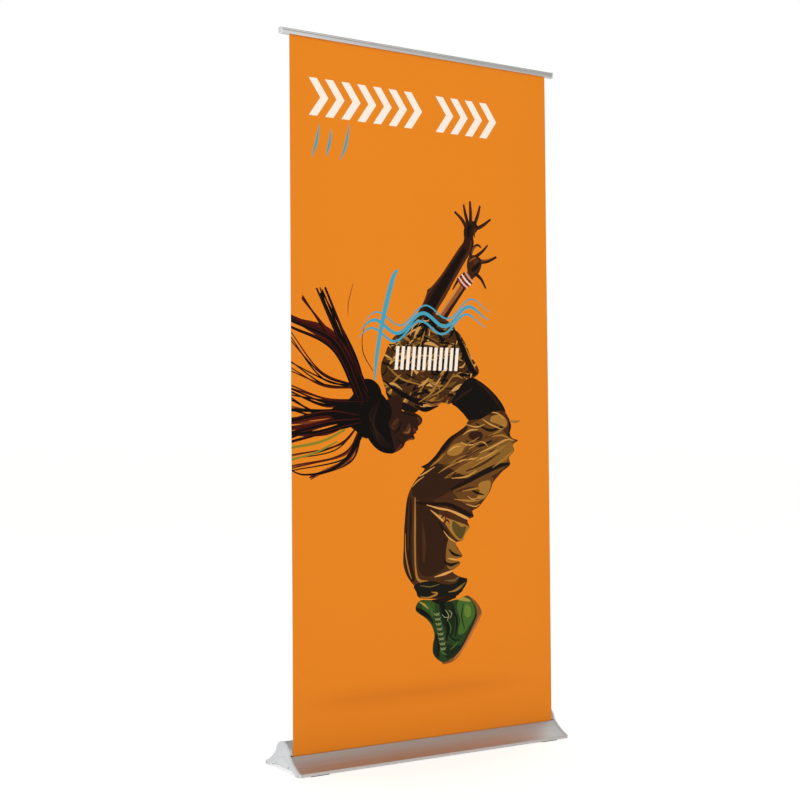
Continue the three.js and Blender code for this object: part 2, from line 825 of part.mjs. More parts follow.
add('pole_lower', tube(poleRadius, lowerBottom, lowerTop), brightTube, pole);
add('pole_middle', tube(middleRadius, middleBottom, middleTop), brightTube, pole);
add('pole_upper', tube(upperRadius, upperBottom, upperTop), brightTube, pole);

// A plug whose flange covers the end of a tube and whose body fills its bore.
function plug(radius, flangeFrom, flangeTo, depth) {
  const bore = radius - tubeWall - gap;
  const end = flangeTo + depth;
  return turned([
    [0, flangeFrom],
    [radius, flangeFrom],
    [radius, flangeTo],
    [bore, flangeTo],
    [bore, end - 1],
    [bore - 1, end],
    [0, end],
  ]);
}

const glideFlange = 3;
const glideDepth = 15;
const footPlugDepth = 20;
add('pole_foot_plug', plug(poleRadius, 0, footFlange, footPlugDepth), blackNylon, pole);
for (const [name, radius, end] of [
  ['middle_glide', middleRadius, middleBottom],
  ['upper_glide', upperRadius, upperBottom],
]) {
  add(name, plug(radius, end - gap - glideFlange, end - gap, glideDepth), blackNylon, pole);
}

// A twist-lock collar turns on the end of one tube and squeezes a split sleeve on the next.
const sleeveWall = 2.2;
const sleeveFrom = 1.5;                        // above the end of the tube
const sleeveLength = 17;
const sleeveSlit = 1.6;
const collarLip = 4;
const gripRibs = 14;
const ribHalf = 0.4;                           // half the height of a rib

function collar(tubeRadius, innerRadius, tubeTop) {
  const outer = tubeRadius + gap + collarWall;
  const from = tubeTop - collarBelow;
  const to = from + collarLength;
  const outline = steps(4 * gripRibs, (t) => {
    const radius = outer - ribHalf + ribHalf * Math.cos(2 * Math.PI * gripRibs * t);
    const angle = 2 * Math.PI * t;
    return [radius * Math.cos(angle), radius * Math.sin(angle)];
  }).slice(0, -1);
  const sleeveSpace = innerRadius + sleeveWall + 2 * gap;
  return cut(alongZ(toShape(outline), from, collarLength), [
    rod(tubeRadius + gap, from - 1, tubeTop + 1),
    rod(sleeveSpace, tubeTop, to - collarLip),
    rod(innerRadius + gap, tubeTop, to + 1),
  ]);
}

function sleeve(innerRadius, tubeTop) {
  const from = tubeTop + sleeveFrom;
  const whole = ring(innerRadius + gap, innerRadius + gap + sleeveWall, from, from + sleeveLength);
  const slit = new THREE.BoxGeometry(8, sleeveSlit, sleeveLength + 2);
  slit.translate(innerRadius + sleeveWall, 0, from + sleeveLength / 2);
  return cut(whole, [slit]);
}

add('lower_collar', collar(poleRadius, middleRadius, lowerTop), blackNylon, pole);
add('lower_sleeve', sleeve(middleRadius, lowerTop), greyNylon, pole);
add('middle_collar', collar(middleRadius, upperRadius, middleTop), blackNylon, pole);
add('middle_sleeve', sleeve(upperRadius, middleTop), greyNylon, pole);

const headRadius = upperRadius + 1;
const headBore = upperRadius - tubeWall - gap;
add('pole_head', turned([
  [0, headBottom - headPlug],
  [headBore, headBottom - headPlug],
  [headBore, headBottom],
  [headRadius, headBottom],
  [headRadius, headTop - 1],
  [headRadius - 1, headTop],
  [spigotRadius, headTop],
  [spigotRadius, headTop + spigotHeight - 2],
  [spigotRadius - 1.5, headTop + spigotHeight],
  [0, headTop + spigotHeight],
]), blackNylon, pole);

export default stand;
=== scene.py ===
import json
import math
import random

import bpy
import numpy as np
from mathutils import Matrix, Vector
from mathutils.geometry import delaunay_2d_cdt


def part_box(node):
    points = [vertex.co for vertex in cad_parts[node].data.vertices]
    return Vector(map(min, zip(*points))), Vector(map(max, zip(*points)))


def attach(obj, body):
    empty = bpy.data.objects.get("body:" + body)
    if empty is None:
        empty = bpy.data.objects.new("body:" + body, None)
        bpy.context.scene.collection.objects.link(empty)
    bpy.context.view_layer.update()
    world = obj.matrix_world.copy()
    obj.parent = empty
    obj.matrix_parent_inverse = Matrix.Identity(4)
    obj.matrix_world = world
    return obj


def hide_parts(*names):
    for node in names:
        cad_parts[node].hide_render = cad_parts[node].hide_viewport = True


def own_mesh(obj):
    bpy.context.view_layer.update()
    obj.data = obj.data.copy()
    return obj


# A roll-up banner stand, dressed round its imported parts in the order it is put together: the
# room, the base, the roller, the leader and film, the top rail, then the pole.
# Lengths are in metres unless a comment says millimetres. X runs along the base, the banner
# faces -Y and Z is up.

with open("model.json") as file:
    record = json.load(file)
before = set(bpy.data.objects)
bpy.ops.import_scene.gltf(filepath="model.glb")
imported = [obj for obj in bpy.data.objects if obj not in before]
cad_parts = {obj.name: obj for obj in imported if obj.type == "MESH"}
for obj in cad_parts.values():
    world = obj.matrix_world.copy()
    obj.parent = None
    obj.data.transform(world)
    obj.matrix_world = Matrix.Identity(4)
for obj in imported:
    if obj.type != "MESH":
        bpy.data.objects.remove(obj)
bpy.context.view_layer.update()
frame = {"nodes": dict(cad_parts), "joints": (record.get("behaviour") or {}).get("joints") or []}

# ------------------------------------------------------------------ room
# A plain pale floor in a white studio: a large soft light ahead of the banner, another off its
# right end, and even light from all round.


def linear(code):
    """The linear colour, with alpha, of an sRGB hex value."""
    parts = [int(code[i:i + 2], 16) / 255 for i in (0, 2, 4)]
    return (*(c / 12.92 if c <= 0.04045 else ((c + 0.055) / 1.055) ** 2.4 for c in parts), 1)


def add(tree, kind, inputs=None, **settings):
    """Adds a node. Each input is a value, or an output socket that is linked to it."""
    node = tree.nodes.new("ShaderNode" + kind)
    for name, value in settings.items():
        setattr(node, name, value)
    for key, value in (inputs or {}).items():
        if isinstance(value, bpy.types.NodeSocket):
            tree.links.new(value, node.inputs[key])
        else:
            node.inputs[key].default_value = value
    return node


def material(name):
    """A new material and its node tree, empty."""
    made = bpy.data.materials.new(name)
    made.use_nodes = True
    made.node_tree.nodes.clear()
    return made, made.node_tree


scene = bpy.context.scene
scene.view_settings.view_transform = "Standard"
bpy.ops.object.select_all(action="DESELECT")

bpy.ops.object.camera_add(
    location=(-2.268, -3.5179, 0.9741),
    rotation=(math.radians(91.146), 0, math.radians(-31.87)),
)
camera = bpy.context.object
camera.data.lens = 62.17
camera.data.sensor_width = 36
scene.camera = camera

# Seen directly the studio is white; what it lights and what metal mirrors is dimmer.
ROOM_LIGHT = 0.55
world = bpy.data.worlds.new("studio")
world.use_nodes = True
world.node_tree.nodes.clear()
seen = add(world.node_tree, "Background", {"Color": (1, 1, 1, 1), "Strength": 1.0})
cast = add(world.node_tree, "Background", {"Color": (1, 1, 1, 1), "Strength": ROOM_LIGHT})
path = add(world.node_tree, "LightPath")
sky = add(world.node_tree, "MixShader", {
    0: path.outputs["Is Camera Ray"], 1: cast.outputs[0], 2: seen.outputs[0]})
add(world.node_tree, "OutputWorld", {"Surface": sky.outputs[0]})
scene.world = world

for name, place, aim, size, power in (
    ("light_front", (-1.2, -4.2, 3.2), (0, 0, 1.0), 3.6, 45),
    ("light_side", (3.0, 1.2, 2.6), (0, 0, 0.9), 2.6, 15),
):
    bpy.ops.object.light_add(type="AREA", location=place)
    lamp = bpy.context.object
    lamp.name = name
    lamp.rotation_euler = (Vector(aim) - Vector(place)).to_track_quat("-Z", "Y").to_euler()
    lamp.data.size = size
    lamp.data.energy = power

FLOOR_RADIUS, FLOOR_GLOW = 60, 0.5
bpy.ops.mesh.primitive_circle_add(vertices=96, radius=FLOOR_RADIUS, fill_type="NGON")
floor = bpy.context.object
floor.name = "studio_floor"
paper, tree = material("floor_paper")
paint = add(tree, "BsdfPrincipled", {
    "Base Color": linear("f4f4f3"), "Roughness": 0.9, "Specular IOR Level": 0.1,
    "Emission Color": (1, 1, 1, 1), "Emission Strength": FLOOR_GLOW})
add(tree, "OutputMaterial", {"Surface": paint.outputs[0]})
floor.data.materials.append(paper)

# ------------------------------------------------------------------ base
# The housing is one bell-shaped aluminium extrusion, satin anodised, its front sweep falling
# from the slot to a thin nose. It is sawn to length and its edges are broken.

MM = 0.001


def put_on(piece, finish):
    piece.data.materials.clear()
    piece.data.materials.append(finish)
    return piece


def dressed(node, name, edge, finish, body, smooth=30):
    """A piece that stands for a CAD node: its shape, merged, its sharp edges rounded by edge mm."""
    bpy.ops.object.select_all(action="DESELECT")
    piece = bpy.data.objects.new(name, frame["nodes"][node].data.copy())
    scene.collection.objects.link(piece)
    bpy.context.view_layer.objects.active = piece
    piece.select_set(True)
    bpy.ops.object.mode_set(mode="EDIT")
    bpy.ops.mesh.select_all(action="SELECT")
    bpy.ops.mesh.remove_doubles(threshold=0.01 * MM)
    bpy.ops.mesh.dissolve_limited(angle_limit=math.radians(0.4))
    bpy.ops.object.mode_set(mode="OBJECT")
    if edge:
        rounding = piece.modifiers.new("rounding", "BEVEL")
        rounding.width = edge * MM
        rounding.segments = 2
        rounding.angle_limit = math.radians(smooth)
        bpy.ops.object.modifier_apply(modifier="rounding")
    bpy.ops.object.shade_smooth_by_angle(angle=math.radians(smooth))
    put_on(piece, finish)
    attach(piece, body)
    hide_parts(node)
    return piece


# Satin anodised aluminium: even and silky, with faint lines left by the die along its length.
# Real die lines are about 0.3 mm apart; here they are 1.5 mm, so that they show.
def extruded_aluminium(name, dark, light):
    made, tree = material(name)
    place = add(tree, "TexCoord").outputs["Object"]
    drawn = add(tree, "Mapping", {"Vector": place, "Scale": (1.2, 650, 650)}).outputs[0]
    lines = add(tree, "TexNoise", {
        "Vector": drawn, "Scale": 1.0, "Detail": 3.0, "Roughness": 0.6}).outputs[0]
    cloud = add(tree, "TexNoise", {"Vector": place, "Scale": 9.0, "Detail": 4.0}).outputs[0]
    tone = add(tree, "ValToRGB", {"Fac": lines})
    tone.color_ramp.elements[0].position = 0.3
    tone.color_ramp.elements[0].color = linear(dark)
    tone.color_ramp.elements[1].position = 0.7
    tone.color_ramp.elements[1].color = linear(light)
    satin = add(tree, "MapRange", {"Value": lines, 3: 0.47, 4: 0.55}).outputs[0]
    smear = add(tree, "MapRange", {"Value": cloud, 1: 0.35, 2: 0.7, 3: -0.015, 4: 0.02}).outputs[0]
    rough = add(tree, "Math", {0: satin, 1: smear}, operation="ADD").outputs[0]
    relief = add(tree, "Bump", {"Height": lines, "Strength": 0.12, "Distance": 0.05 * MM}).outputs[0]
    metal = add(tree, "BsdfPrincipled", {
        "Base Color": tone.outputs[0], "Metallic": 1.0, "Roughness": rough, "Normal": relief})
    add(tree, "OutputMaterial", {"Surface": metal.outputs[0]})
    return made


anodised = extruded_aluminium("anodised_aluminium_extruded", "bbb9b6", "c7c5c1")
dressed("base_housing", "housing_extrusion", 0.35, anodised, "base")

# End caps: grey nylon mouldings screwed into the extrusion's ports, their faces spark-textured
# at about 0.4 mm.
grey_nylon, tree = material("grey_nylon_moulded")
place = add(tree, "TexCoord").outputs["Object"]
grain = add(tree, "TexNoise", {"Vector": place, "Scale": 1400.0, "Detail": 2.0}).outputs[0]
flow = add(tree, "TexNoise", {"Vector": place, "Scale": 24.0, "Detail": 3.0}).outputs[0]
tone = add(tree, "ValToRGB", {"Fac": flow})
tone.color_ramp.elements[0].color = linear("dcdee0")
tone.color_ramp.elements[1].color = linear("e8e9ea")
rough = add(tree, "MapRange", {"Value": grain, 3: 0.42, 4: 0.56}).outputs[0]
relief = add(tree, "Bump", {"Height": grain, "Strength": 0.25, "Distance": 0.08 * MM}).outputs[0]
plastic = add(tree, "BsdfPrincipled", {
    "Base Color": tone.outputs[0], "Roughness": rough, "Normal": relief, "IOR": 1.53})
add(tree, "OutputMaterial", {"Surface": plastic.outputs[0]})
for side in ("left", "right"):
    dressed(f"end_cap_{side}", f"end_cap_moulding_{side}", 0.3, grey_nylon, "base")

# Cap screws: pan heads with a cross recess, in bright zinc-plated steel with a faint blue cast.
zinc, tree = material("zinc_plated_steel")
place = add(tree, "TexCoord").outputs["Object"]
cast_tone = add(tree, "TexNoise", {"Vector": place, "Scale": 260.0, "Detail": 2.0}).outputs[0]
tone = add(tree, "ValToRGB", {"Fac": cast_tone})
tone.color_ramp.elements[0].color = linear("c3cad2")
tone.color_ramp.elements[1].color = linear("d6d6d0")
rough = add(tree, "MapRange", {"Value": cast_tone, 3: 0.22, 4: 0.36}).outputs[0]
metal = add(tree, "BsdfPrincipled", {
    "Base Color": tone.outputs[0], "Metallic": 1.0, "Roughness": rough})
add(tree, "OutputMaterial", {"Surface": metal.outputs[0]})


def mesh_add(kind, name, **sizes):
    """A primitive, made and named."""
    getattr(bpy.ops.mesh, f"primitive_{kind}_add")(**sizes)
    made = bpy.context.object
    made.name = name
    return made


def pick(piece, wanted, mode="EDGE"):
    """In edit mode, selects the edges or faces whose middle and direction pass a test."""
    bpy.ops.object.mode_set(mode="EDIT")
    bpy.ops.mesh.select_mode(type=mode)
    bpy.ops.mesh.select_all(action="DESELECT")
    bpy.ops.object.mode_set(mode="OBJECT")
    points = piece.data.vertices
    for part in (piece.data.edges if mode == "EDGE" else piece.data.polygons):
        corners = [points[k].co for k in part.vertices]
        middle = sum(corners, Vector()) / len(corners)
        along = (corners[1] - corners[0]).normalized() if mode == "EDGE" else part.normal
        part.select = wanted(middle, along)
    bpy.ops.object.mode_set(mode="EDIT")


HEAD_RADIUS, HEAD_HEIGHT, SHANK_RADIUS = 3.8 * MM, 2.2 * MM, 1.7 * MM
HEAD_ROUND, SHANK_CHAMFER = 1.0 * MM, 0.8 * MM
RECESS_LONG, RECESS_WIDE, RECESS_TALL = 4.4 * MM, 1.0 * MM, 2.6 * MM
RECESS_TAPER = 0.7                              # its bottom against its mouth
TOUCH = 0.01 * MM                               # nearer than this counts as lying on a face


def pan_screw(node, name, out, body):
    """A pan-head screw with a cross recess, in a CAD node's place, its head towards out."""
    bpy.ops.object.select_all(action="DESELECT")
    low, high = (Vector(corner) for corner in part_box(node))
    length = abs((high - low).dot(out))
    head = mesh_add("cylinder", name, vertices=36, radius=HEAD_RADIUS, depth=HEAD_HEIGHT,
                    location=(0, 0, -HEAD_HEIGHT / 2))
    bpy.ops.object.transform_apply()
    pick(head, lambda middle, along: middle.z > -TOUCH and abs(along.z) < 0.5)
    bpy.ops.mesh.bevel(offset=HEAD_ROUND, segments=5)
    bpy.ops.object.mode_set(mode="OBJECT")
    for across in ((RECESS_LONG, RECESS_WIDE), (RECESS_WIDE, RECESS_LONG)):
        cutter = mesh_add("cube", "recess", size=1, scale=(*across, RECESS_TALL))
        bpy.ops.object.transform_apply()
        pick(cutter, lambda middle, normal: normal.z < -0.5, "FACE")
        bpy.ops.transform.resize(value=(RECESS_TAPER, RECESS_TAPER, 1))
        bpy.ops.object.mode_set(mode="OBJECT")
        bpy.context.view_layer.objects.active = head
        recess = head.modifiers.new("recess", "BOOLEAN")
        recess.object = cutter
        recess.operation = "DIFFERENCE"
        bpy.ops.object.modifier_apply(modifier="recess")
        bpy.data.objects.remove(cutter)
    shank = mesh_add("cylinder", "shank", vertices=20, radius=SHANK_RADIUS, depth=length - HEAD_HEIGHT,
                     location=(0, 0, -(length + HEAD_HEIGHT) / 2))
    bpy.ops.object.transform_apply()
    pick(shank, lambda middle, along: middle.z < -length + TOUCH and abs(along.z) < 0.5)
    bpy.ops.mesh.bevel(offset=SHANK_CHAMFER, segments=1)
    bpy.ops.object.mode_set(mode="OBJECT")
    bpy.ops.object.select_all(action="DESELECT")
    shank.select_set(True)
    head.select_set(True)
    bpy.context.view_layer.objects.active = head
    bpy.ops.object.join()
    head.rotation_euler = out.to_track_quat("Z", "Y").to_euler()
    head.location = (low + high) / 2 + out * length / 2
    bpy.ops.object.transform_apply()
    bpy.ops.object.shade_smooth_by_angle(angle=math.radians(32))
    put_on(head, zinc)
    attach(head, body)
    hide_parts(node)


for side, out in (("left", Vector((-1, 0, 0))), ("right", Vector((1, 0, 0)))):
    for k in range(1, 5):
        pan_screw(f"cap_screw_{side}_{k}", f"cap_screw_pan_head_{side}_{k}", out, "base")

# Foot pads: die-cut black rubber stuck under the soles, with a faint dusty mottle.
rubber, tree = material("black_rubber_sheet")
place = add(tree, "TexCoord").outputs["Object"]
dust = add(tree, "TexNoise", {"Vector": place, "Scale": 300.0, "Detail": 5.0}).outputs[0]
tone = add(tree, "ValToRGB", {"Fac": dust})
tone.color_ramp.elements[0].color = linear("141416")
tone.color_ramp.elements[1].color = linear("2a2a2b")
relief = add(tree, "Bump", {"Height": dust, "Strength": 0.3, "Distance": 0.1 * MM}).outputs[0]
soft = add(tree, "BsdfPrincipled", {
    "Base Color": tone.outputs[0], "Roughness": 0.8, "Normal": relief, "IOR": 1.52})
add(tree, "OutputMaterial", {"Surface": soft.outputs[0]})
PAD_CORNER, PAD_LIP, GROOVE_SLOPE, GROOVE_SUNK, PAD_ROUND = 5 * MM, 1.5 * MM, 1.0 * MM, 0.5 * MM, 0.4 * MM
for where in ("front_left", "front_right", "rear_left", "rear_right"):
    node = f"foot_pad_{where}"
    low, high = (Vector(corner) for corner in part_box(node))
    size = high - low
    bpy.ops.object.select_all(action="DESELECT")
    pad = mesh_add("cube", f"foot_pad_rubber_{where}", size=1, location=(low + high) / 2, scale=size)
    bpy.ops.object.transform_apply()
    pick(pad, lambda middle, along: abs(along.z) > 0.5)
    bpy.ops.mesh.bevel(offset=PAD_CORNER, segments=6)
    pick(pad, lambda middle, normal: normal.z < -0.5, "FACE")
    bpy.ops.mesh.inset(thickness=PAD_LIP)
    bpy.ops.mesh.inset(thickness=GROOVE_SLOPE)
    bpy.ops.transform.translate(value=(0, 0, GROOVE_SUNK))
    pick(pad, lambda middle, along: middle.z > high.z - TOUCH and abs(along.z) < 0.5)
    bpy.ops.mesh.bevel(offset=PAD_ROUND, segments=2)
    bpy.ops.object.mode_set(mode="OBJECT")
    bpy.ops.object.shade_smooth_by_angle(angle=math.radians(32))
    put_on(pad, rubber)
    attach(pad, "base")
    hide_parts(node)

# Pole socket: a black nylon cup under the rear hollow, held by two screws from below.
black_nylon, tree = material("black_nylon_moulded")
place = add(tree, "TexCoord").outputs["Object"]
grain = add(tree, "TexNoise", {"Vector": place, "Scale": 1400.0, "Detail": 2.0}).outputs[0]
flow = add(tree, "TexNoise", {"Vector": place, "Scale": 30.0, "Detail": 3.0}).outputs[0]
tone = add(tree, "ValToRGB", {"Fac": flow})
tone.color_ramp.elements[0].color = linear("1b1c1e")
tone.color_ramp.elements[1].color = linear("28292b")
rough = add(tree, "MapRange", {"Value": grain, 3: 0.40, 4: 0.58}).outputs[0]
relief = add(tree, "Bump", {"Height": grain, "Strength": 0.25, "Distance": 0.08 * MM}).outputs[0]
plastic = add(tree, "BsdfPrincipled", {
    "Base Color": tone.outputs[0], "Roughness": rough, "Normal": relief, "IOR": 1.53})
add(tree, "OutputMaterial", {"Surface": plastic.outputs[0]})
dressed("pole_socket", "pole_socket_moulding", 0.3, black_nylon, "base")
for k in (1, 2):
    pan_screw(f"socket_screw_{k}", f"socket_screw_pan_head_{k}", Vector((0, 0, -1)), "base")

# ------------------------------------------------------------------ roller
# Inside the chamber a sprung aluminium tube turns on a steel shaft and an idler pin, between
# nylon plugs and bushes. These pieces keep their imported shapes.

for node in ("spring_shaft", "idler_pin"):
    put_on(frame["nodes"][node], zinc)
for node in ("spring_anchor", "roller_plug_left", "roller_plug_right"):
    put_on(frame["nodes"][node], black_nylon)
for node in ("bush_left", "bush_right"):
    put_on(frame["nodes"][node], grey_nylon)
put_on(frame["nodes"]["roller_tube"], anodised)

# The torsion spring: oiled dark steel wire.
spring_steel, tree = material("spring_steel_oiled")
place = add(tree, "TexCoord").outputs["Object"]
oil = add(tree, "TexNoise", {"Vector": place, "Scale": 120.0, "Detail": 3.0}).outputs[0]
tone = add(tree, "ValToRGB", {"Fac": oil})
tone.color_ramp.elements[0].color = linear("5c5b58")
tone.color_ramp.elements[1].color = linear("7a7873")
rough = add(tree, "MapRange", {"Value": oil, 3: 0.25, 4: 0.45}).outputs[0]
metal = add(tree, "BsdfPrincipled", {
    "Base Color": tone.outputs[0], "Metallic": 1.0, "Roughness": rough})
add(tree, "OutputMaterial", {"Surface": metal.outputs[0]})
put_on(frame["nodes"]["torsion_spring"], spring_steel)

# ------------------------------------------------------------------ leader and film
# The leader is plain grey-backed polyester: some turns stay on the roller and a strip of it
# runs up to the slot, where the film is joined on.

# Unprinted polyester film: pale grey, satin, with fine streaks across the roll.
blank_film, tree = material("polyester_film_blank")
place = add(tree, "TexCoord").outputs["Object"]
across = add(tree, "Mapping", {"Vector": place, "Scale": (60, 2, 2)}).outputs[0]
streak = add(tree, "TexNoise", {"Vector": across, "Scale": 1.0, "Detail": 3.0}).outputs[0]
tone = add(tree, "ValToRGB", {"Fac": streak})
tone.color_ramp.elements[0].color = linear("d3d4d6")
tone.color_ramp.elements[1].color = linear("d8d9db")
rough = add(tree, "MapRange", {"Value": streak, 3: 0.46, 4: 0.56}).outputs[0]
sheen = add(tree, "BsdfPrincipled", {"Base Color": tone.outputs[0], "Roughness": rough, "IOR": 1.5})
add(tree, "OutputMaterial", {"Surface": sheen.outputs[0]})
put_on(frame["nodes"]["wound_leader"], blank_film)
put_on(frame["nodes"]["leader_strip"], blank_film)

# Artwork of the printed film. Places are (across, up) in millimetres from the foot of the film's
# left edge at the slot; a stroke's third number is its width there.

layers = []                                     # (outline, ink, clip) from the back to the front


def curve(points, closed=False, step=7.0):
    """A smooth line through the points, with a point about every step millimetres."""
    stops = np.array(points, float)
    count = len(stops)
    line = []
    for i in range(count if closed else count - 1):
        here, there = stops[i], stops[(i + 1) % count]
        before = stops[i - 1] if closed or i else 2 * here - there
        after = stops[(i + 2) % count] if closed or i + 2 < count else 2 * there - here
        pieces = max(1, round(math.dist(here[:2], there[:2]) / step))
        for t in np.arange(pieces) / pieces:
            line.append(0.5 * (2 * here + (there - before) * t
                               + (2 * before - 5 * here + 4 * there - after) * t ** 2
                               + (3 * here - before - 3 * there + after) * t ** 3))
    return np.array(line if closed else line + [stops[-1]])


def patch(points, ink, clip=None, sharp=False):
    """A flat area of one ink inside a smooth outline, or a straight-sided one if sharp."""
    outline = np.array(points, float) if sharp else curve(points, closed=True)
    layers.append((outline, ink, clip))
    return outline


def stroke(points, ink, clip=None):
    """A brush stroke along (across, up, width) points."""
    line = curve(points)
    along = np.gradient(line[:, :2], axis=0)
    along /= np.linalg.norm(along, axis=1)[:, None] + 1e-9
    side = np.stack([-along[:, 1], along[:, 0]], 1) * line[:, 2:] / 2
    layers.append((np.vstack([line[:, :2] + side, (line[:, :2] - side)[::-1]]), ink, clip))


def strokes(ink, *lines, clip=None):
    for line in lines:
        stroke(line, ink, clip)


# Strands of hair behind the head, flying out to the film's left edge.
draw = random.Random(7)
HAIR, HAIR_RED, HAIR_BROWN, HAIR_OLIVE = "0d0704", "4a120b", "77361a", "86822a"

strand_groups = [
    # from the head, by way of, to the end; how far the ends spread; widths; how many
    ((246, 1030), (186, 1165), (96, 1322), 12, 10, (9, 4), 5),
    ((236, 1034), (170, 1150), (36, 1300), 6, 8, (8, 4), 3),
    ((232, 1040), (140, 1180), (-8, 1236), 14, 10, (15, 12), 6),
    ((214, 1046), (110, 1080), (-8, 1190), 10, 14, (5, 3), 3),
    ((206, 1040), (110, 1052), (-8, 1100), 8, 16, (5, 3), 4),
    ((216, 1004), (120, 998), (-8, 1034), 8, 16, (6, 4), 6),
    ((214, 990), (110, 968), (-8, 985), 10, 26, (7, 4), 7),
    ((212, 966), (110, 948), (-8, 930), 10, 20, (10, 8), 8),
    ((212, 950), (110, 918), (-8, 890), 10, 18, (9, 6), 7),
    ((220, 930), (150, 872), (-8, 845), 8, 16, (4, 3), 4),
    ((226, 922), (170, 846), (-8, 806), 8, 10, (5, 3), 4),
    ((232, 912), (186, 832), (60, 782), 6, 8, (6, 4), 4),
]
for start, middle, end, near, far, (thick, thin), count in strand_groups:
    for _ in range(count):
        wander = [draw.uniform(-1, 1) for _ in range(5)]
        bend = (middle[0] + wander[0] * near * 1.6, middle[1] + wander[1] * near * 1.6)
        tip = (end[0] + wander[2] * near * 0.6, end[1] + wander[3] * far)
        ink = HAIR_BROWN if wander[4] > 0.72 else HAIR_RED if wander[4] > 0.1 else HAIR
        stroke([(*start, thick), (*bend, thick), (*tip, thin)], ink)
for line in (
    [(176, 918, 6), (96, 884, 8), (-8, 866, 7)],
    [(150, 884, 4), (70, 850, 6), (-8, 832, 5)],
):
    stroke(line, HAIR_OLIVE)
stroke([(232, 910, 18), (184, 838, 12), (120, 800, 8), (40, 790, 5), (-8, 806, 4)], HAIR)
stroke([(206, 1345, 1.5), (190, 1290, 2.5), (188, 1250, 1.5)], HAIR_BROWN)
stroke([(272, 1090, 2), (240, 1140, 3), (236, 1190, 2), (246, 1230, 1.5)], HAIR)

# Arms and hands.
SKIN_DEEP, SKIN_DARK, SKIN, SKIN_LIT, SKIN_GLOW = "170c07", "2e180d", "512b15", "93552a", "cf8443"

stroke([(470, 1196, 34), (520, 1262, 30), (566, 1324, 24), (602, 1372, 22), (632, 1412, 26)], SKIN_LIT)
stroke([(500, 1222, 16), (540, 1276, 12), (580, 1326, 9), (616, 1372, 8), (640, 1400, 14)], SKIN_DARK)
stroke([(492, 1246, 5), (530, 1296, 7), (562, 1334, 5), (592, 1374, 4)], SKIN_GLOW)
stroke([(556, 1346, 4), (580, 1380, 9), (606, 1404, 6)], SKIN_DARK)
patch([(616, 1398), (610, 1426), (618, 1450), (638, 1458), (660, 1450), (666, 1430), (654, 1402),
       (634, 1388)], "3d2010")
patch([(632, 1440), (650, 1446), (660, 1436), (656, 1420), (640, 1424)], SKIN)
strokes(SKIN_DARK,
        [(622, 1450, 10), (634, 1478, 9), (652, 1490, 8), (664, 1482, 5)],
        [(642, 1452, 11), (668, 1470, 9), (690, 1492, 5)],
        [(656, 1438, 15), (688, 1442, 12), (723, 1457, 7)],
        [(640, 1402, 13), (664, 1384, 10), (681, 1356, 6)],
        [(612, 1448, 8), (610, 1468, 8), (626, 1474, 5)])
stroke([(628, 1408, 8), (648, 1424, 14), (660, 1436, 8)], SKIN_DEEP)
strokes(SKIN_LIT,
        [(620, 1436, 3), (632, 1446, 5), (646, 1450, 3)],
        [(664, 1440, 2), (690, 1447, 4), (712, 1456, 2)],
        [(628, 1462, 2), (636, 1480, 3), (650, 1486, 2)])
for k, ink in enumerate(("6d1f1c", "e2b9ae", "7c2a22", "f0d8cf", "5a1714", "d79a8c")):
    step = 7.2 * k
    stroke([(573 + step * 0.82, 1382 + step * 0.62, 5), (588 + step * 0.82, 1364 + step * 0.62, 6),
            (606 + step * 0.82, 1350 + step * 0.62, 5)], ink)

arm = patch([(404, 1226), (424, 1262), (448, 1300), (462, 1332), (464, 1342), (478, 1350),
             (512, 1386), (548, 1432), (580, 1474), (598, 1496), (602, 1520), (606, 1546),
             (640, 1550), (634, 1522), (637, 1492), (622, 1462), (596, 1424), (560, 1370),
             (532, 1326), (506, 1290), (486, 1256), (474, 1226), (450, 1206)], SKIN_DARK)
stroke([(440, 1228, 34), (478, 1290, 34), (520, 1354, 30), (568, 1424, 20), (604, 1474, 12)],
       SKIN_DEEP, clip=arm)
stroke([(462, 1226, 6), (500, 1290, 9), (548, 1362, 8), (592, 1428, 7), (622, 1474, 6), (628, 1524, 5)],
       SKIN, clip=arm)
stroke([(446, 1288, 3), (470, 1334, 5), (508, 1376, 5), (556, 1436, 4), (594, 1486, 3)],
       SKIN, clip=arm)
patch([(603, 1508), (600, 1532), (607, 1552), (620, 1562), (640, 1562), (652, 1550), (650, 1534),
       (636, 1518), (632, 1502)], SKIN_DARK)
strokes(SKIN_DARK,
        [(612, 1540, 15), (592, 1566, 11), (566, 1587, 7)],
        [(616, 1552, 12), (606, 1584, 10), (600, 1612, 6)],
        [(626, 1554, 13), (626, 1590, 11), (624, 1624, 7)],
        [(640, 1552, 12), (652, 1580, 11), (662, 1613, 6)],
        [(646, 1540, 12), (672, 1552, 11), (702, 1574, 6)])
strokes(SKIN,
        [(610, 1548, 3), (594, 1566, 4), (572, 1583, 2)],
        [(629, 1560, 2), (629, 1590, 4), (627, 1616, 2)],
        [(646, 1560, 2), (655, 1582, 4), (661, 1604, 2)],
        [(656, 1543, 2), (674, 1550, 4), (696, 1568, 2)],
        [(640, 1512, 3), (640, 1530, 7), (646, 1542, 4)])
stroke([(618, 1512, 10), (618, 1534, 14), (626, 1550, 8)], SKIN_DEEP)

patch([(424, 972), (436, 992), (440, 1030), (400, 1062), (352, 1062), (316, 1040), (326, 1006),
       (360, 984), (396, 968)], SKIN_DEEP)

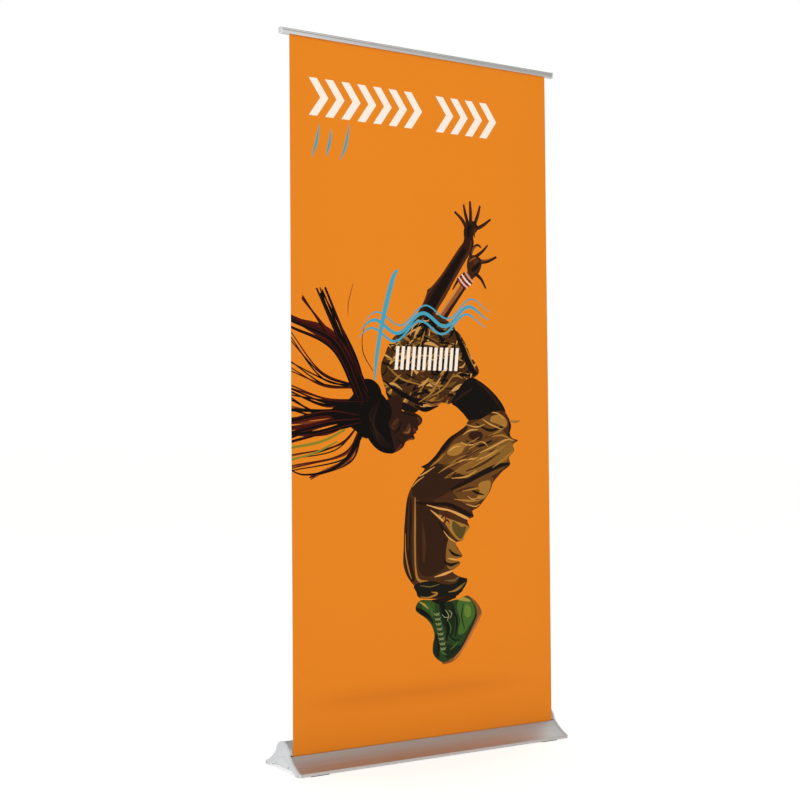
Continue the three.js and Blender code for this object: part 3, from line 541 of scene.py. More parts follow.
# A loose printed top.
TOP_BLACK, TOP_BROWN, TOP_OLIVE, TOP_GOLD, TOP_SAND = "0f0805", "46290f", "6d4c1d", "a0702c", "cf9650"
top = patch([(300, 1078), (300, 1112), (312, 1140), (330, 1176), (352, 1200), (392, 1222), (424, 1246),
             (452, 1262), (492, 1268), (532, 1252), (566, 1226), (596, 1192), (622, 1146), (652, 1102),
             (640, 1082), (614, 1070), (590, 1046), (566, 1012), (540, 996), (510, 1000), (476, 986),
             (446, 972), (416, 984), (384, 998), (350, 1010), (318, 1032)], TOP_BROWN)
for _ in range(330):
    x, up, turn = draw.uniform(296, 652), draw.uniform(980, 1264), draw.uniform(-0.5, 1.2)
    reach, width = draw.uniform(10, 36), draw.uniform(4, 13)
    dx, dup = reach * math.cos(turn), reach * math.sin(turn)
    sway = draw.uniform(-0.4, 0.4) * reach
    ink = draw.choice((TOP_BLACK, TOP_BLACK, TOP_BLACK, TOP_BROWN, TOP_OLIVE, TOP_GOLD, TOP_GOLD,
                       TOP_SAND, SKIN))
    stroke([(x - dx, up - dup, 2), (x - sway * 0.5, up + sway, width), (x + dx, up + dup, 2)],
           ink, clip=top)
strokes(TOP_BLACK,
        [(310, 1062, 4), (352, 1034, 12), (404, 1010, 16), (446, 992, 10)],
        [(470, 1258, 4), (500, 1216, 12), (520, 1180, 10)],
        [(560, 1226, 5), (590, 1170, 18), (622, 1110, 24), (640, 1088, 12)],
        [(566, 1188, 4), (548, 1120, 12), (520, 1068, 6)],
        [(330, 1170, 3), (380, 1120, 8), (430, 1100, 4)], clip=top)
strokes(TOP_GOLD,
        [(320, 1106, 2), (370, 1070, 6), (440, 1052, 3)],
        [(350, 1190, 2), (392, 1150, 5), (450, 1130, 2)],
        [(470, 1016, 2), (520, 1044, 6), (560, 1090, 3)],
        [(430, 1000, 2), (470, 1024, 5), (500, 1060, 3)],
        [(596, 1184, 2), (618, 1140, 5), (638, 1104, 2)], clip=top)
stroke([(416, 990, 5), (452, 978, 14), (500, 990, 4)], TOP_BLACK)
stroke([(452, 1000, 3), (482, 992, 8), (512, 1000, 3)], SKIN_LIT)

# Waist.
waist = patch([(548, 1000), (566, 1030), (592, 1062), (622, 1078), (650, 1070), (690, 1046),
               (728, 1012), (752, 976), (742, 950), (706, 936), (664, 930), (620, 940), (592, 966),
               (568, 986)], "120c09")
stroke([(640, 1068, 5), (690, 1034, 10), (736, 984, 6)], "2a180e", clip=waist)
stroke([(560, 1004, 4), (590, 1024, 9), (624, 1044, 5)], "291a10", clip=waist)

# Loose trousers, bent at the knee: broad tones first, then the folds and the light on them.
DEEP, DARK, BROWN, MID = "1c0e06", "341c0c", "4a2a12", "6b431a"
GOLD, TAN, SAND, GLOW = "8a5f24", "a9742f", "cf9548", "e0a052"
trousers = patch([
    (612, 946), (600, 930), (572, 912), (540, 894), (514, 870), (490, 842), (462, 818), (436, 806),
    (450, 800), (424, 774), (406, 752), (392, 728), (384, 700), (379, 660), (375, 616), (373, 570),
    (371, 522), (380, 490), (396, 466), (414, 446), (424, 420), (452, 412), (500, 408), (548, 414),
    (582, 424), (586, 442), (602, 462), (590, 466), (566, 474), (548, 488), (570, 504), (576, 514),
    (560, 524), (584, 532), (572, 552), (560, 574), (586, 580), (596, 600), (612, 618), (604, 640),
    (628, 652), (622, 668), (646, 680), (672, 706), (690, 728), (704, 756), (736, 786), (768, 808),
    (764, 830), (784, 852), (780, 872), (800, 884), (776, 892), (768, 908), (774, 930), (762, 958),
    (742, 976), (700, 972), (660, 952)], BROWN)
for ink, outline in (
    (MID, [(500, 830), (560, 900), (640, 944), (700, 960), (756, 900), (790, 880), (764, 818),
           (700, 776), (620, 770), (560, 772), (520, 790)]),
    (GOLD, [(560, 790), (620, 822), (690, 866), (760, 884), (782, 862), (756, 822), (700, 800),
            (640, 780)]),
    (DARK, [(404, 750), (424, 780), (470, 812), (520, 812), (560, 790), (600, 770), (560, 744),
            (500, 712), (440, 706), (410, 716)]),
    (DARK, [(424, 700), (470, 706), (494, 690), (506, 640), (536, 600), (532, 540), (520, 504),
            (486, 482), (450, 478), (426, 500), (420, 560), (420, 640)]),
    ("2a150a", [(384, 704), (400, 716), (404, 660), (400, 590), (402, 520), (412, 470), (400, 466),
                (380, 500), (374, 560), (378, 640)]),
    (MID, [(552, 740), (600, 752), (670, 778), (704, 764), (680, 724), (640, 690), (600, 690),
           (566, 712)]),
    (TAN, [(648, 752), (690, 760), (688, 730), (664, 704), (640, 708), (650, 726)]),
    (TAN, [(500, 662), (530, 650), (560, 640), (604, 624), (610, 612), (590, 584), (572, 580),
           (548, 600), (520, 636)]),
    ("5a4a1e", [(552, 640), (580, 622), (600, 622), (592, 600), (580, 584), (562, 596), (548, 618)]),
    (GOLD, [(536, 590), (556, 576), (566, 556), (582, 534), (562, 524), (574, 512), (552, 494),
            (530, 500), (524, 540)]),
    (DARK, [(612, 906), (640, 914), (664, 906), (660, 890), (636, 884), (614, 892)]),
    (TAN, [(530, 846), (548, 868), (580, 878), (594, 866), (584, 848), (556, 838)]),
    (DARK, [(512, 876), (560, 910), (606, 930), (600, 912), (556, 886), (520, 850), (476, 836)]),
    (TAN, [(700, 960), (736, 964), (758, 944), (752, 926), (720, 936), (694, 944)]),
):
    patch(outline, ink, clip=trousers)
strokes(DEEP,
        [(598, 928, 5), (544, 890, 10), (494, 838, 12), (440, 800, 9)],
        [(544, 735, 8), (600, 758, 14), (662, 784, 17), (719, 804, 16), (764, 812, 6)],
        [(412, 700, 6), (470, 694, 8), (536, 690, 12), (596, 664, 14), (626, 654, 5)],
        [(636, 938, 3), (690, 916, 9), (738, 926, 6)],
        [(760, 970, 3), (768, 936, 6), (764, 900, 6), (748, 884, 2)],
        [(600, 884, 3), (650, 868, 9), (700, 884, 5)],
        [(500, 640, 4), (516, 616, 9), (536, 596, 3)],
        [(534, 556, 3), (552, 540, 9), (580, 532, 3)],
        [(516, 520, 3), (540, 508, 10), (572, 514, 3)],
        [(606, 740, 2), (640, 724, 8), (668, 716, 2)], clip=trousers)
strokes(BROWN,
        [(540, 812, 4), (600, 838, 12), (660, 862, 6)],
        [(600, 790, 4), (660, 812, 9), (730, 846, 4)],
        [(560, 728, 4), (610, 738, 9), (650, 740, 3)],
        [(440, 640, 4), (446, 580, 12), (444, 520, 6)],
        [(396, 720, 2), (390, 650, 5), (388, 560, 4)], clip=trousers)
strokes(TAN,
        [(415, 716, 3), (414, 650, 6), (413, 570, 6), (415, 500, 6), (426, 468, 9), (460, 462, 4)],
        [(379, 610, 2), (380, 550, 4), (390, 500, 5), (400, 474, 2)],
        [(586, 730, 2), (630, 736, 6), (680, 742, 4)],
        [(700, 800, 2), (744, 826, 7), (780, 852, 3)],
        [(620, 800, 2), (690, 834, 6), (756, 872, 2)],
        [(470, 806, 2), (500, 826, 6), (524, 846, 2)],
        [(556, 706, 2), (610, 700, 7), (652, 700, 2)],
        [(700, 896, 2), (740, 900, 6), (780, 884, 2)], clip=trousers)
strokes(SAND,
        [(519, 806, 2), (570, 820, 6), (622, 828, 5), (664, 832, 2)],
        [(546, 770, 2), (600, 774, 5), (640, 792, 2)],
        [(581, 880, 2), (600, 872, 5), (630, 872, 4), (664, 880, 5), (684, 866, 2)],
        [(590, 902, 2), (616, 916, 5), (646, 918, 2)],
        [(664, 950, 2), (690, 936, 5), (716, 926, 4), (740, 918, 2)],
        [(650, 846, 2), (700, 864, 5), (752, 886, 5), (784, 884, 2)],
        [(640, 822, 2), (684, 838, 4), (720, 856, 2)],
        [(600, 934, 2), (640, 926, 4), (672, 934, 2)],
        [(696, 972, 2), (724, 968, 4), (748, 950, 2)],
        [(600, 690, 2), (632, 682, 4), (650, 688, 2)],
        [(606, 714, 2), (626, 704, 3), (656, 712, 2)],
        [(430, 778, 2), (452, 788, 5), (486, 806, 2)],
        [(404, 746, 1.5), (424, 764, 4), (448, 778, 1.5)], clip=trousers)
strokes(GLOW,
        [(456, 692, 2), (500, 680, 6), (540, 672, 6), (590, 652, 9), (616, 640, 4)],
        [(470, 676, 2), (500, 654, 7), (520, 636, 3)],
        [(482, 474, 2), (520, 482, 8), (556, 492, 4)],
        [(530, 528, 1.5), (552, 524, 6), (570, 520, 2)],
        [(516, 612, 1.5), (536, 590, 4), (566, 572, 2)],
        [(536, 852, 1.5), (556, 864, 4), (580, 868, 1.5)], clip=trousers)
for _ in range(34):
    t = draw.random()
    x, up = 500 + 250 * t + draw.uniform(-24, 24), 782 + 104 * t + draw.uniform(-40, 48)
    run, dip = draw.uniform(16, 40), draw.uniform(-5, 5)
    ink = draw.choice((DARK, BROWN, MID, GOLD, GOLD, TAN))
    stroke([(x - run, up - run * 0.40, 1.2), (x, up + dip, draw.uniform(2.5, 5)),
            (x + run, up + run * 0.46, 1.2)], ink, clip=trousers)
stroke([(766, 946, 3), (788, 942, 9), (808, 946, 4)], TAN)
strokes("4f1712", [(508, 650, 4), (524, 662, 7), (540, 652, 3)],
        [(512, 634, 3), (530, 644, 6), (538, 632, 2)],
        [(522, 666, 3), (524, 646, 4), (520, 628, 3)])

# Cuff and ankle.
CUFF, CUFF_LIT = "17150c", "6b5a30"
patch([(408, 452), (440, 462), (480, 462), (520, 450), (560, 452), (572, 466), (600, 462),
              (596, 444), (578, 424), (560, 412), (520, 412), (470, 410), (426, 416), (416, 434)], CUFF)
strokes(CUFF_LIT,
        [(520, 462, 2), (552, 460, 7), (574, 472, 2)],
        [(548, 428, 3), (572, 436, 10), (594, 452, 3)],
        [(430, 452, 2), (466, 446, 4), (500, 452, 2)])
strokes(TAN, [(430, 418, 2), (460, 414, 5), (492, 424, 7), (470, 430, 2)],
        [(532, 426, 2), (560, 430, 5), (580, 444, 2)])
stroke([(430, 404, 4), (470, 400, 12), (520, 404, 14), (560, 410, 6)], "1f1409")

# Laced canvas shoe with a gum rubber sole, toe down.
SHOE_DEEP, SHOE_DARK, SHOE, SHOE_LIT, LACE = "0b1109", "1a2712", "28401c", "456628", "9a9c6a"
sole = patch([(600, 412), (620, 402), (640, 384), (654, 356), (640, 326), (620, 296), (596, 262),
              (570, 232), (546, 216), (520, 211), (506, 216), (560, 250), (600, 330), (590, 400)],
             "8a5328")
shoe = patch([(413, 388), (420, 400), (432, 408), (470, 406), (520, 398), (560, 402), (598, 410),
              (618, 396), (634, 372), (636, 348), (618, 314), (590, 272), (560, 240), (536, 222),
              (516, 216), (500, 220), (484, 232), (474, 248), (474, 272), (480, 300), (470, 330),
              (450, 352), (426, 368), (414, 378)], SHOE)
for ink, outline in (
    (SHOE_LIT, [(570, 400), (604, 404), (626, 376), (626, 346), (606, 318), (584, 296), (566, 300),
                (574, 340), (564, 372)]),
    (SHOE_DARK, [(500, 396), (548, 392), (556, 340), (548, 296), (530, 300), (508, 340)]),
    (SHOE_DARK, [(474, 300), (490, 300), (492, 262), (500, 232), (484, 234), (474, 250)]),
    (SHOE_DARK, [(520, 268), (552, 262), (576, 262), (560, 242), (536, 226), (518, 232)]),
    ("64802f", [(594, 384), (612, 376), (614, 352), (600, 344), (590, 360)]),
    ("35531f", [(440, 404), (476, 404), (482, 372), (470, 350), (452, 362), (440, 380)]),
):
    patch(outline, ink, clip=shoe)
strokes(SHOE_DEEP,
        [(414, 386, 6), (440, 370, 16), (462, 356, 10), (476, 336, 3)],
        [(506, 398, 18), (520, 356, 14), (530, 320, 10), (522, 280, 6)],
        [(486, 300, 4), (496, 268, 8), (490, 236, 4)],
        [(546, 380, 3), (562, 340, 7), (556, 290, 4)],
        [(470, 406, 5), (500, 398, 12), (530, 400, 4)],
        [(586, 388, 2), (580, 350, 4), (590, 310, 2)],
        [(530, 300, 2), (552, 280, 5), (572, 280, 2)], clip=shoe)
strokes(SHOE_LIT,
        [(452, 398, 2), (468, 380, 6), (474, 358, 3)],
        [(500, 262, 2), (508, 246, 6), (524, 238, 3)],
        [(536, 252, 2), (552, 262, 5), (566, 274, 2)],
        [(530, 340, 2), (540, 320, 4), (536, 300, 2)], clip=shoe)
strokes("a8923c",
        [(560, 404, 3), (586, 402, 12), (612, 394, 5)],
        [(426, 404, 2), (444, 394, 7), (460, 380, 2)], clip=shoe)
for k in range(8):
    x, up = 478 + 3.2 * k, 366 - 15 * k
    strokes(LACE,
            [(x, up, 1.2), (x + 12, up - 7, 2.6), (x + 22, up + 1, 1.2)],
            [(x + 2, up - 8, 1), (x + 12, up - 1, 2), (x + 21, up - 9, 1)], clip=shoe)
strokes(LACE,
        [(520, 374, 1.5), (532, 356, 2.8), (526, 338, 1.5)],
        [(532, 372, 1.5), (544, 360, 2.6), (536, 346, 1.5)],
        [(508, 360, 1.5), (520, 350, 2.4), (534, 352, 1.5)])
stroke([(650, 350, 4), (620, 302, 7), (580, 248, 7), (548, 222, 4)], "c0703a", clip=sole)
stroke([(636, 352, 3), (610, 306, 4), (576, 254, 4), (544, 224, 2)], SHOE_DEEP)

# Neck, then the head, turned down: an everyday profile on plain proportions, its eye closed.
chin, lift, ahead = np.array((402.0, 992.0)), np.array((-0.70, -0.715)), np.array((0.715, -0.70))
HEAD = 170.0


def on_head(points):
    """Points of a face drawn one head high, looking along its first axis, set on the figure."""
    return [(*(chin + HEAD * (up * lift + out * ahead)), *(HEAD * w for w in width))
            for out, up, *width in points]


face = patch(on_head([
    (-0.47, 0.60), (-0.42, 0.80), (-0.25, 0.95), (-0.02, 1.00), (0.20, 0.96), (0.33, 0.85),
    (0.39, 0.72), (0.40, 0.62), (0.375, 0.545), (0.41, 0.47), (0.475, 0.385), (0.46, 0.355),
    (0.405, 0.335), (0.415, 0.30), (0.425, 0.275), (0.40, 0.255), (0.415, 0.225), (0.395, 0.19),
    (0.37, 0.165), (0.385, 0.10), (0.365, 0.03), (0.30, 0.0), (0.18, 0.03), (0.05, 0.10),
    (-0.06, 0.20), (-0.14, 0.10), (-0.30, 0.05), (-0.40, 0.25)]), SKIN_DARK)
strokes(SKIN,
        on_head([(0.33, 0.84, 0.02), (0.355, 0.70, 0.05), (0.33, 0.60, 0.02)]),
        on_head([(0.22, 0.48, 0.03), (0.28, 0.36, 0.11), (0.20, 0.26, 0.03)]),
        on_head([(0.37, 0.53, 0.01), (0.41, 0.44, 0.035), (0.445, 0.39, 0.02)]),
        on_head([(0.24, 0.06, 0.02), (0.33, 0.07, 0.06), (0.355, 0.13, 0.02)]), clip=face)
strokes(SKIN_LIT,
        on_head([(0.38, 0.50, 0.006), (0.43, 0.42, 0.014), (0.455, 0.385, 0.008)]),
        on_head([(0.24, 0.44, 0.01), (0.30, 0.38, 0.035), (0.27, 0.30, 0.01)]), clip=face)
strokes(SKIN_DEEP,
        on_head([(0.17, 0.60, 0.012), (0.27, 0.63, 0.028), (0.36, 0.60, 0.012)]),
        on_head([(0.20, 0.52, 0.008), (0.27, 0.49, 0.018), (0.335, 0.515, 0.008)]),
        on_head([(0.40, 0.37, 0.012), (0.385, 0.355, 0.022), (0.40, 0.345, 0.01)]),
        on_head([(0.415, 0.263, 0.008), (0.36, 0.258, 0.014), (0.315, 0.266, 0.006)]),
        on_head([(0.30, 0.46, 0.004), (0.33, 0.475, 0.008), (0.36, 0.50, 0.004)]),
        on_head([(-0.02, 0.22, 0.02), (0.10, 0.13, 0.035), (0.24, 0.05, 0.02)]),
        on_head([(0.10, 0.62, 0.02), (0.12, 0.48, 0.04), (0.06, 0.34, 0.02)]), clip=face)
strokes("6d2f1f",
        on_head([(0.40, 0.29, 0.012), (0.37, 0.283, 0.026), (0.325, 0.272, 0.008)]),
        on_head([(0.40, 0.24, 0.012), (0.37, 0.242, 0.03), (0.33, 0.258, 0.008)]), clip=face)
# The ear, behind the jaw.
patch(on_head([(-0.03, 0.56), (0.03, 0.57), (0.06, 0.51), (0.03, 0.42), (0.0, 0.35), (-0.035, 0.36),
               (-0.05, 0.46)]), SKIN)
strokes(SKIN_DEEP,
        on_head([(-0.02, 0.53, 0.01), (0.025, 0.52, 0.02), (0.025, 0.45, 0.016), (0.0, 0.40, 0.01)]))
# Hair over the crown and the back of the head, and the roots of the braids.
patch([(120, 966), (150, 990), (190, 1008), (214, 1036), (240, 1066), (276, 1062), (300, 1030),
       (300, 960), (270, 900), (240, 894), (214, 912), (180, 934), (146, 946)], HAIR)
hair = patch([*(tuple(p[:2]) for p in on_head([
    (0.34, 0.82), (0.30, 0.90), (0.14, 1.01), (-0.06, 1.05), (-0.28, 1.01), (-0.48, 0.88), (-0.60, 0.68)])),
    (196, 938), (178, 972), (196, 1004), (214, 1034), (236, 1062), (272, 1052), (300, 1026),
    *(tuple(p[:2]) for p in on_head([(-0.30, 0.30), (-0.16, 0.40), (-0.10, 0.56), (0.02, 0.62),
                                      (0.14, 0.70), (0.27, 0.78)]))], HAIR)
for k in range(9):
    bend = 0.10 * k
    stroke(on_head([(0.26 - bend * 0.5, 0.80 + bend * 0.02, 0.006),
                    (0.02 - bend * 0.62, 0.93 - bend * 0.25, 0.014),
                    (-0.34 - bend * 0.2, 0.86 - bend * 0.62, 0.008)]), "2d1b12", clip=hair)
for start, bend, tip, width in (
    ((262, 1010), (214, 1108), (112, 1330), 13),
    ((254, 1012), (196, 1104), (84, 1326), 11),
    ((252, 1000), (180, 1108), (38, 1302), 8),
    ((240, 1002), (150, 1168), (-8, 1234), 19),
    ((232, 990), (140, 1150), (-8, 1214), 13),
    ((226, 960), (120, 968), (-8, 944), 17),
    ((226, 950), (120, 938), (-8, 908), 15),
    ((230, 940), (130, 916), (-8, 884), 9),
    ((240, 1000), (130, 1000), (-8, 1018), 7),
):
    stroke([(*start, width * 1.6), (*bend, width), (*tip, width * 0.55)], HAIR)
    stroke([(*start, 1.5), (bend[0], bend[1] + width * 0.22, width * 0.22),
            (tip[0], tip[1] + width * 0.1, 1)], HAIR_RED)

# A headline band of chevrons in two groups.
WHITE, BLUE = "fdf1e2", "4aa3ba"


def chevrons(left, foot, height, weight, reach, pitch, count):
    """A row of sharp chevrons that point to the right."""
    for k in range(count):
        x = left + pitch * k
        patch([(x, foot), (x + weight, foot), (x + weight + reach, foot + height / 2),
               (x + weight, foot + height), (x, foot + height), (x + reach, foot + height / 2)],
              WHITE, sharp=True)


chevrons(62, 1826, 110, 27, 38, 54, 7)
chevrons(500, 1826, 110, 27, 38, 54, 4)
# Loose leaning pulls of a dry brush under it.
for k, (foot_up, tip_up, tilt) in enumerate(((1704, 1802, 26), (1712, 1792, 18), (1706, 1812, 30))):
    x = 70 + 48 * k
    stroke([(x, foot_up, 2.5), (x + tilt * 0.62, foot_up + (tip_up - foot_up) * 0.45, 9),
            (x + tilt, tip_up, 2.5)], BLUE)

# The ribbon: one tall pull of the brush, and three waves side by side that run over the figure.
stroke([(362, 1396, 4), (346, 1378, 13), (324, 1310, 16), (300, 1216, 14), (284, 1130, 12),
        (277, 1064, 5)], BLUE)
WAVE_FROM, WAVE_TO, WAVE_FOOT, WAVE_SLOPE, WAVE_HALF, WAVE_RUN = 232, 692, 1210, 0.16, 25, 27
for rise, weight in ((24, 5), (0, 11), (-24, 7)):
    line = []
    for x in range(WAVE_FROM, WAVE_TO + 1, 20):
        along = x - WAVE_FROM
        taper = min(1, 0.2 + along / 60, 0.2 + (WAVE_TO - x) / 90)
        up = WAVE_FOOT + WAVE_SLOPE * along + WAVE_HALF * math.sin(along / WAVE_RUN) + rise
        line.append((x + 0.4 * rise, up, weight * taper))
    stroke(line, BLUE)
# A row of leaning bars under the ribbon.
BARS, BAR_LEFT, BAR_PITCH, BAR_WIDTH, BAR_TILT, BAR_FOOT, BAR_TOP = 12, 346, 19.4, 11, 7, 1097, 1167
for k in range(BARS):
    x = BAR_LEFT + BAR_PITCH * k
    patch([(x, BAR_FOOT), (x + BAR_WIDTH, BAR_FOOT), (x + BAR_WIDTH + BAR_TILT, BAR_TOP),
           (x + BAR_TILT, BAR_TOP)], WHITE, sharp=True)

# The film itself: polyester 0.5 mm thick, printed edge to edge on its front and blank behind.
# It stands taut from the slot to the rail, with the slight waves that film keeps from the roll.

WIDTH, IN_VIEW, LEAN = 920, 2050, 30            # millimetres; its top stands LEAN behind its foot
BELOW, ABOVE = -3, 2062                         # its ends, up from the slot
GROUND = "ec8820"
GRID = 20


def ground(across, up):
    """The film's plain colour, darker where the figure's soft shadow lies and near the slot."""
    shade = 0.10 * math.exp(-((up - 138) / 26) ** 2) * math.exp(-((across - 400) / 330) ** 4)
    shade += 0.04 * (1 - min(1, up / 420)) ** 1.5 + 0.015 * min(1, abs(across - 470) / 450) ** 4
    red, green, blue, _ = linear(GROUND)
    return (red * (1 - shade), green * (1 - 1.35 * shade), blue * (1 - 0.4 * shade), 1)


def inside(points, outline):
    """Which points lie inside a closed outline, its crossings counted by their direction."""
    turns = np.zeros(len(points), int)
    ends = np.roll(outline, -1, axis=0)
    for (ax, ay), (bx, by) in zip(outline, ends):
        left = (bx - ax) * (points[:, 1] - ay) - (points[:, 0] - ax) * (by - ay)
        turns += (ay <= points[:, 1]) & (by > points[:, 1]) & (left > 0)
        turns -= (ay > points[:, 1]) & (by <= points[:, 1]) & (left < 0)
    return turns != 0


# The film's face is divided along every outline of the print, and by a grid that lets it wave.
marks, edges = [], []
columns = np.linspace(0, WIDTH, WIDTH // GRID + 1)
rows = np.linspace(BELOW, ABOVE, round((ABOVE - BELOW) / GRID) + 1)
marks.extend((x, up) for up in rows for x in columns)
wide = len(columns)
for k in range(len(rows)):
    for j in range(wide):
        if j + 1 < wide and k in (0, len(rows) - 1):
            edges.append((k * wide + j, k * wide + j + 1))
        if k + 1 < len(rows) and j in (0, wide - 1):
            edges.append((k * wide + j, (k + 1) * wide + j))
for outline, _, _ in layers:
    first, count = len(marks), len(outline)
    marks.extend(map(tuple, outline))
    edges.extend((first + k, first + (k + 1) % count) for k in range(count))
spots, _, faces, *_ = delaunay_2d_cdt([Vector(p) for p in marks], edges, [], 0, 0.02, False)
spots = np.array([(p.x, p.y) for p in spots])
faces = np.array(faces)
centres = spots[faces].mean(axis=1)
on_film = ((centres[:, 0] > 0) & (centres[:, 0] < WIDTH)
           & (centres[:, 1] > BELOW) & (centres[:, 1] < ABOVE))
faces, centres = faces[on_film], centres[on_film]

top_ink = np.full(len(faces), -1)
for k, (outline, _, clip) in enumerate(layers):
    low, high = outline.min(axis=0), outline.max(axis=0)
    near = np.flatnonzero(((centres > low) & (centres < high)).all(axis=1))
    hit = near[inside(centres[near], outline)]
    if clip is not None and len(hit):
        hit = hit[inside(centres[hit], clip)]
    top_ink[hit] = k

used, index = np.unique(faces, return_inverse=True)
spots, faces = spots[used], index.reshape(faces.shape)

THICK = 0.5
upwards = Vector((0, LEAN, IN_VIEW)).normalized()
outwards = Vector((0, -upwards.z, upwards.y))   # straight out of the film's front
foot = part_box("banner_graphic")[0]
film_y = foot[1] / MM + THICK / 2 - LEAN * BELOW / IN_VIEW
slot_up = foot[2] / MM - BELOW


HELD_FLAT = 35                                  # the clamp keeps it flat this far below the rail


def wave(across, up):
    """How far the film stands proud of flat, in mm: nothing at the slot and near the rail."""
    hold = math.sin(math.pi * min(1, max(0, up / (IN_VIEW - HELD_FLAT)))) ** 0.6
    roll = 0.9 * math.sin(across / 130 + 0.6) * math.sin(up / 310 + 0.4)
    curl = 1.1 * (abs(2 * across / WIDTH - 1)) ** 6
    return hold * (roll + curl + 0.4 * math.sin(across / 61 + up / 190))


def on_face(across, up, out):
    point = Vector((across - WIDTH / 2, film_y + LEAN * up / IN_VIEW, slot_up + up))
    return (point + outwards * (out + wave(across, up))) * MM


front = [on_face(x, up, THICK / 2) for x, up in spots]
back = [on_face(x, up, -THICK / 2) for x, up in spots]
count = len(front)
print_faces = [tuple(f) for f in faces.tolist()]
rim = {}
for a, b, c in print_faces:
    for pair in ((a, b), (b, c), (c, a)):
        if (pair[1], pair[0]) in rim:
            del rim[(pair[1], pair[0])]
        else:
            rim[pair] = True
sides = [(b, a, a + count, b + count) for a, b in rim]
back_faces = [(c + count, b + count, a + count) for a, b, c in print_faces]
mesh = bpy.data.meshes.new("banner_film")
mesh.from_pydata(front + back, [], print_faces + back_faces + sides)
film = bpy.data.objects.new("banner_film", mesh)
scene.collection.objects.link(film)
mesh.validate()

# Each face takes the ink on top there; the ground's own colour changes slowly from point to point.
inks = mesh.color_attributes.new("ink", "FLOAT_COLOR", "CORNER")
colours = np.ones((len(mesh.loops), 4))
known = {ink: linear(ink) for _, ink, _ in layers}
ground_at = [ground(x, up) for x, up in spots]
for k, corners in enumerate(print_faces):
    for j, corner in enumerate(corners):
        top = top_ink[k]
        colours[3 * k + j] = ground_at[corner] if top < 0 else known[layers[top][1]]
inks.data.foreach_set("color", colours.ravel())

unwrapped = mesh.uv_layers.new(name="film")
corner_of = np.empty(len(mesh.loops), int)
mesh.loops.foreach_get("vertex_index", corner_of)
flat = np.vstack([spots, spots])[corner_of]
unwrapped.data.foreach_set("uv", (flat / 1000).astype(np.float32).ravel())

# Printed polyester film: solvent ink under a satin surface. Its slight mottle is about 2 mm across.
printed, tree = material("polyester_film_printed")
ink = add(tree, "VertexColor", layer_name="ink").outputs[0]
flat_place = add(tree, "UVMap", uv_map="film").outputs[0]
mottle = add(tree, "TexNoise", {"Vector": flat_place, "Scale": 480.0, "Detail": 3.0}).outputs[0]
drift = add(tree, "TexNoise", {"Vector": flat_place, "Scale": 3.2, "Detail": 2.0}).outputs[0]
fleck = add(tree, "MapRange", {"Value": mottle, 3: 0.965, 4: 1.035}).outputs[0]
slow = add(tree, "MapRange", {"Value": drift, 3: 0.985, 4: 1.015}).outputs[0]
depth = add(tree, "Math", {0: fleck, 1: slow}, operation="MULTIPLY").outputs[0]
laid = add(tree, "VectorMath", {0: ink, "Scale": depth}, operation="SCALE").outputs[0]
rough = add(tree, "MapRange", {"Value": mottle, 3: 0.44, 4: 0.54}).outputs[0]
relief = add(tree, "Bump", {"Height": mottle, "Strength": 0.06, "Distance": 0.05 * MM}).outputs[0]
face_of_film = add(tree, "BsdfPrincipled", {
    "Base Color": laid, "Roughness": rough, "Normal": relief, "IOR": 1.5,
    "Specular IOR Level": 0.06})
add(tree, "OutputMaterial", {"Surface": face_of_film.outputs[0]})
mesh.materials.append(printed)
mesh.materials.append(blank_film)
slots = np.ones(len(mesh.polygons), int)
slots[:len(print_faces)] = 0
mesh.polygons.foreach_set("material_index", slots.astype(np.int32))
bpy.ops.object.select_all(action="DESELECT")
film.select_set(True)
bpy.context.view_layer.objects.active = film
bpy.ops.object.shade_smooth_by_angle(angle=math.radians(30))

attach(film, "base")
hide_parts("banner_graphic")

# As the pole closes the film winds down into the base; here the pole's sliding axis is read from its
# rail_height joint, and the film is given a mesh of its own.
pole_slide = next(j for j in frame["joints"] if j["name"] == "rail_height")
pole_axis = Vector(pole_slide["axis"]).normalized()
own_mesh(film)

# ------------------------------------------------------------------ top rail
# Two satin anodised extrusions, the body and a hinged jaw, grip the film's top edge against a
# rubber strip. Grey nylon caps close the ends.

# The rail's aluminium is the base's, a little brighter: that extra brightness is painted light.
rail_metal_painted_lighter = extruded_aluminium("anodised_aluminium_rail_painted_lighter", "c8c7c5", "d5d3d0")
dressed("rail_body", "rail_body_extrusion", 0.25, rail_metal_painted_lighter, "top_rail")
dressed("rail_jaw", "rail_jaw_extrusion", 0.25, rail_metal_painted_lighter, "jaw")
dressed("grip_strip", "grip_strip_rubber", 0.1, rubber, "top_rail")
for side in ("left", "right"):
    dressed(f"rail_cap_{side}", f"rail_cap_moulding_{side}", 0.25, grey_nylon, "top_rail")

# The hanger is a black nylon block screwed to the rail's back; it drops over the pole's head.
dressed("rail_hanger", "rail_hanger_moulding", 0.4, black_nylon, "top_rail")
for k in (1, 2):
    pan_screw(f"hanger_screw_{k}", f"hanger_screw_pan_head_{k}", Vector((0, 1, 0)), "top_rail")

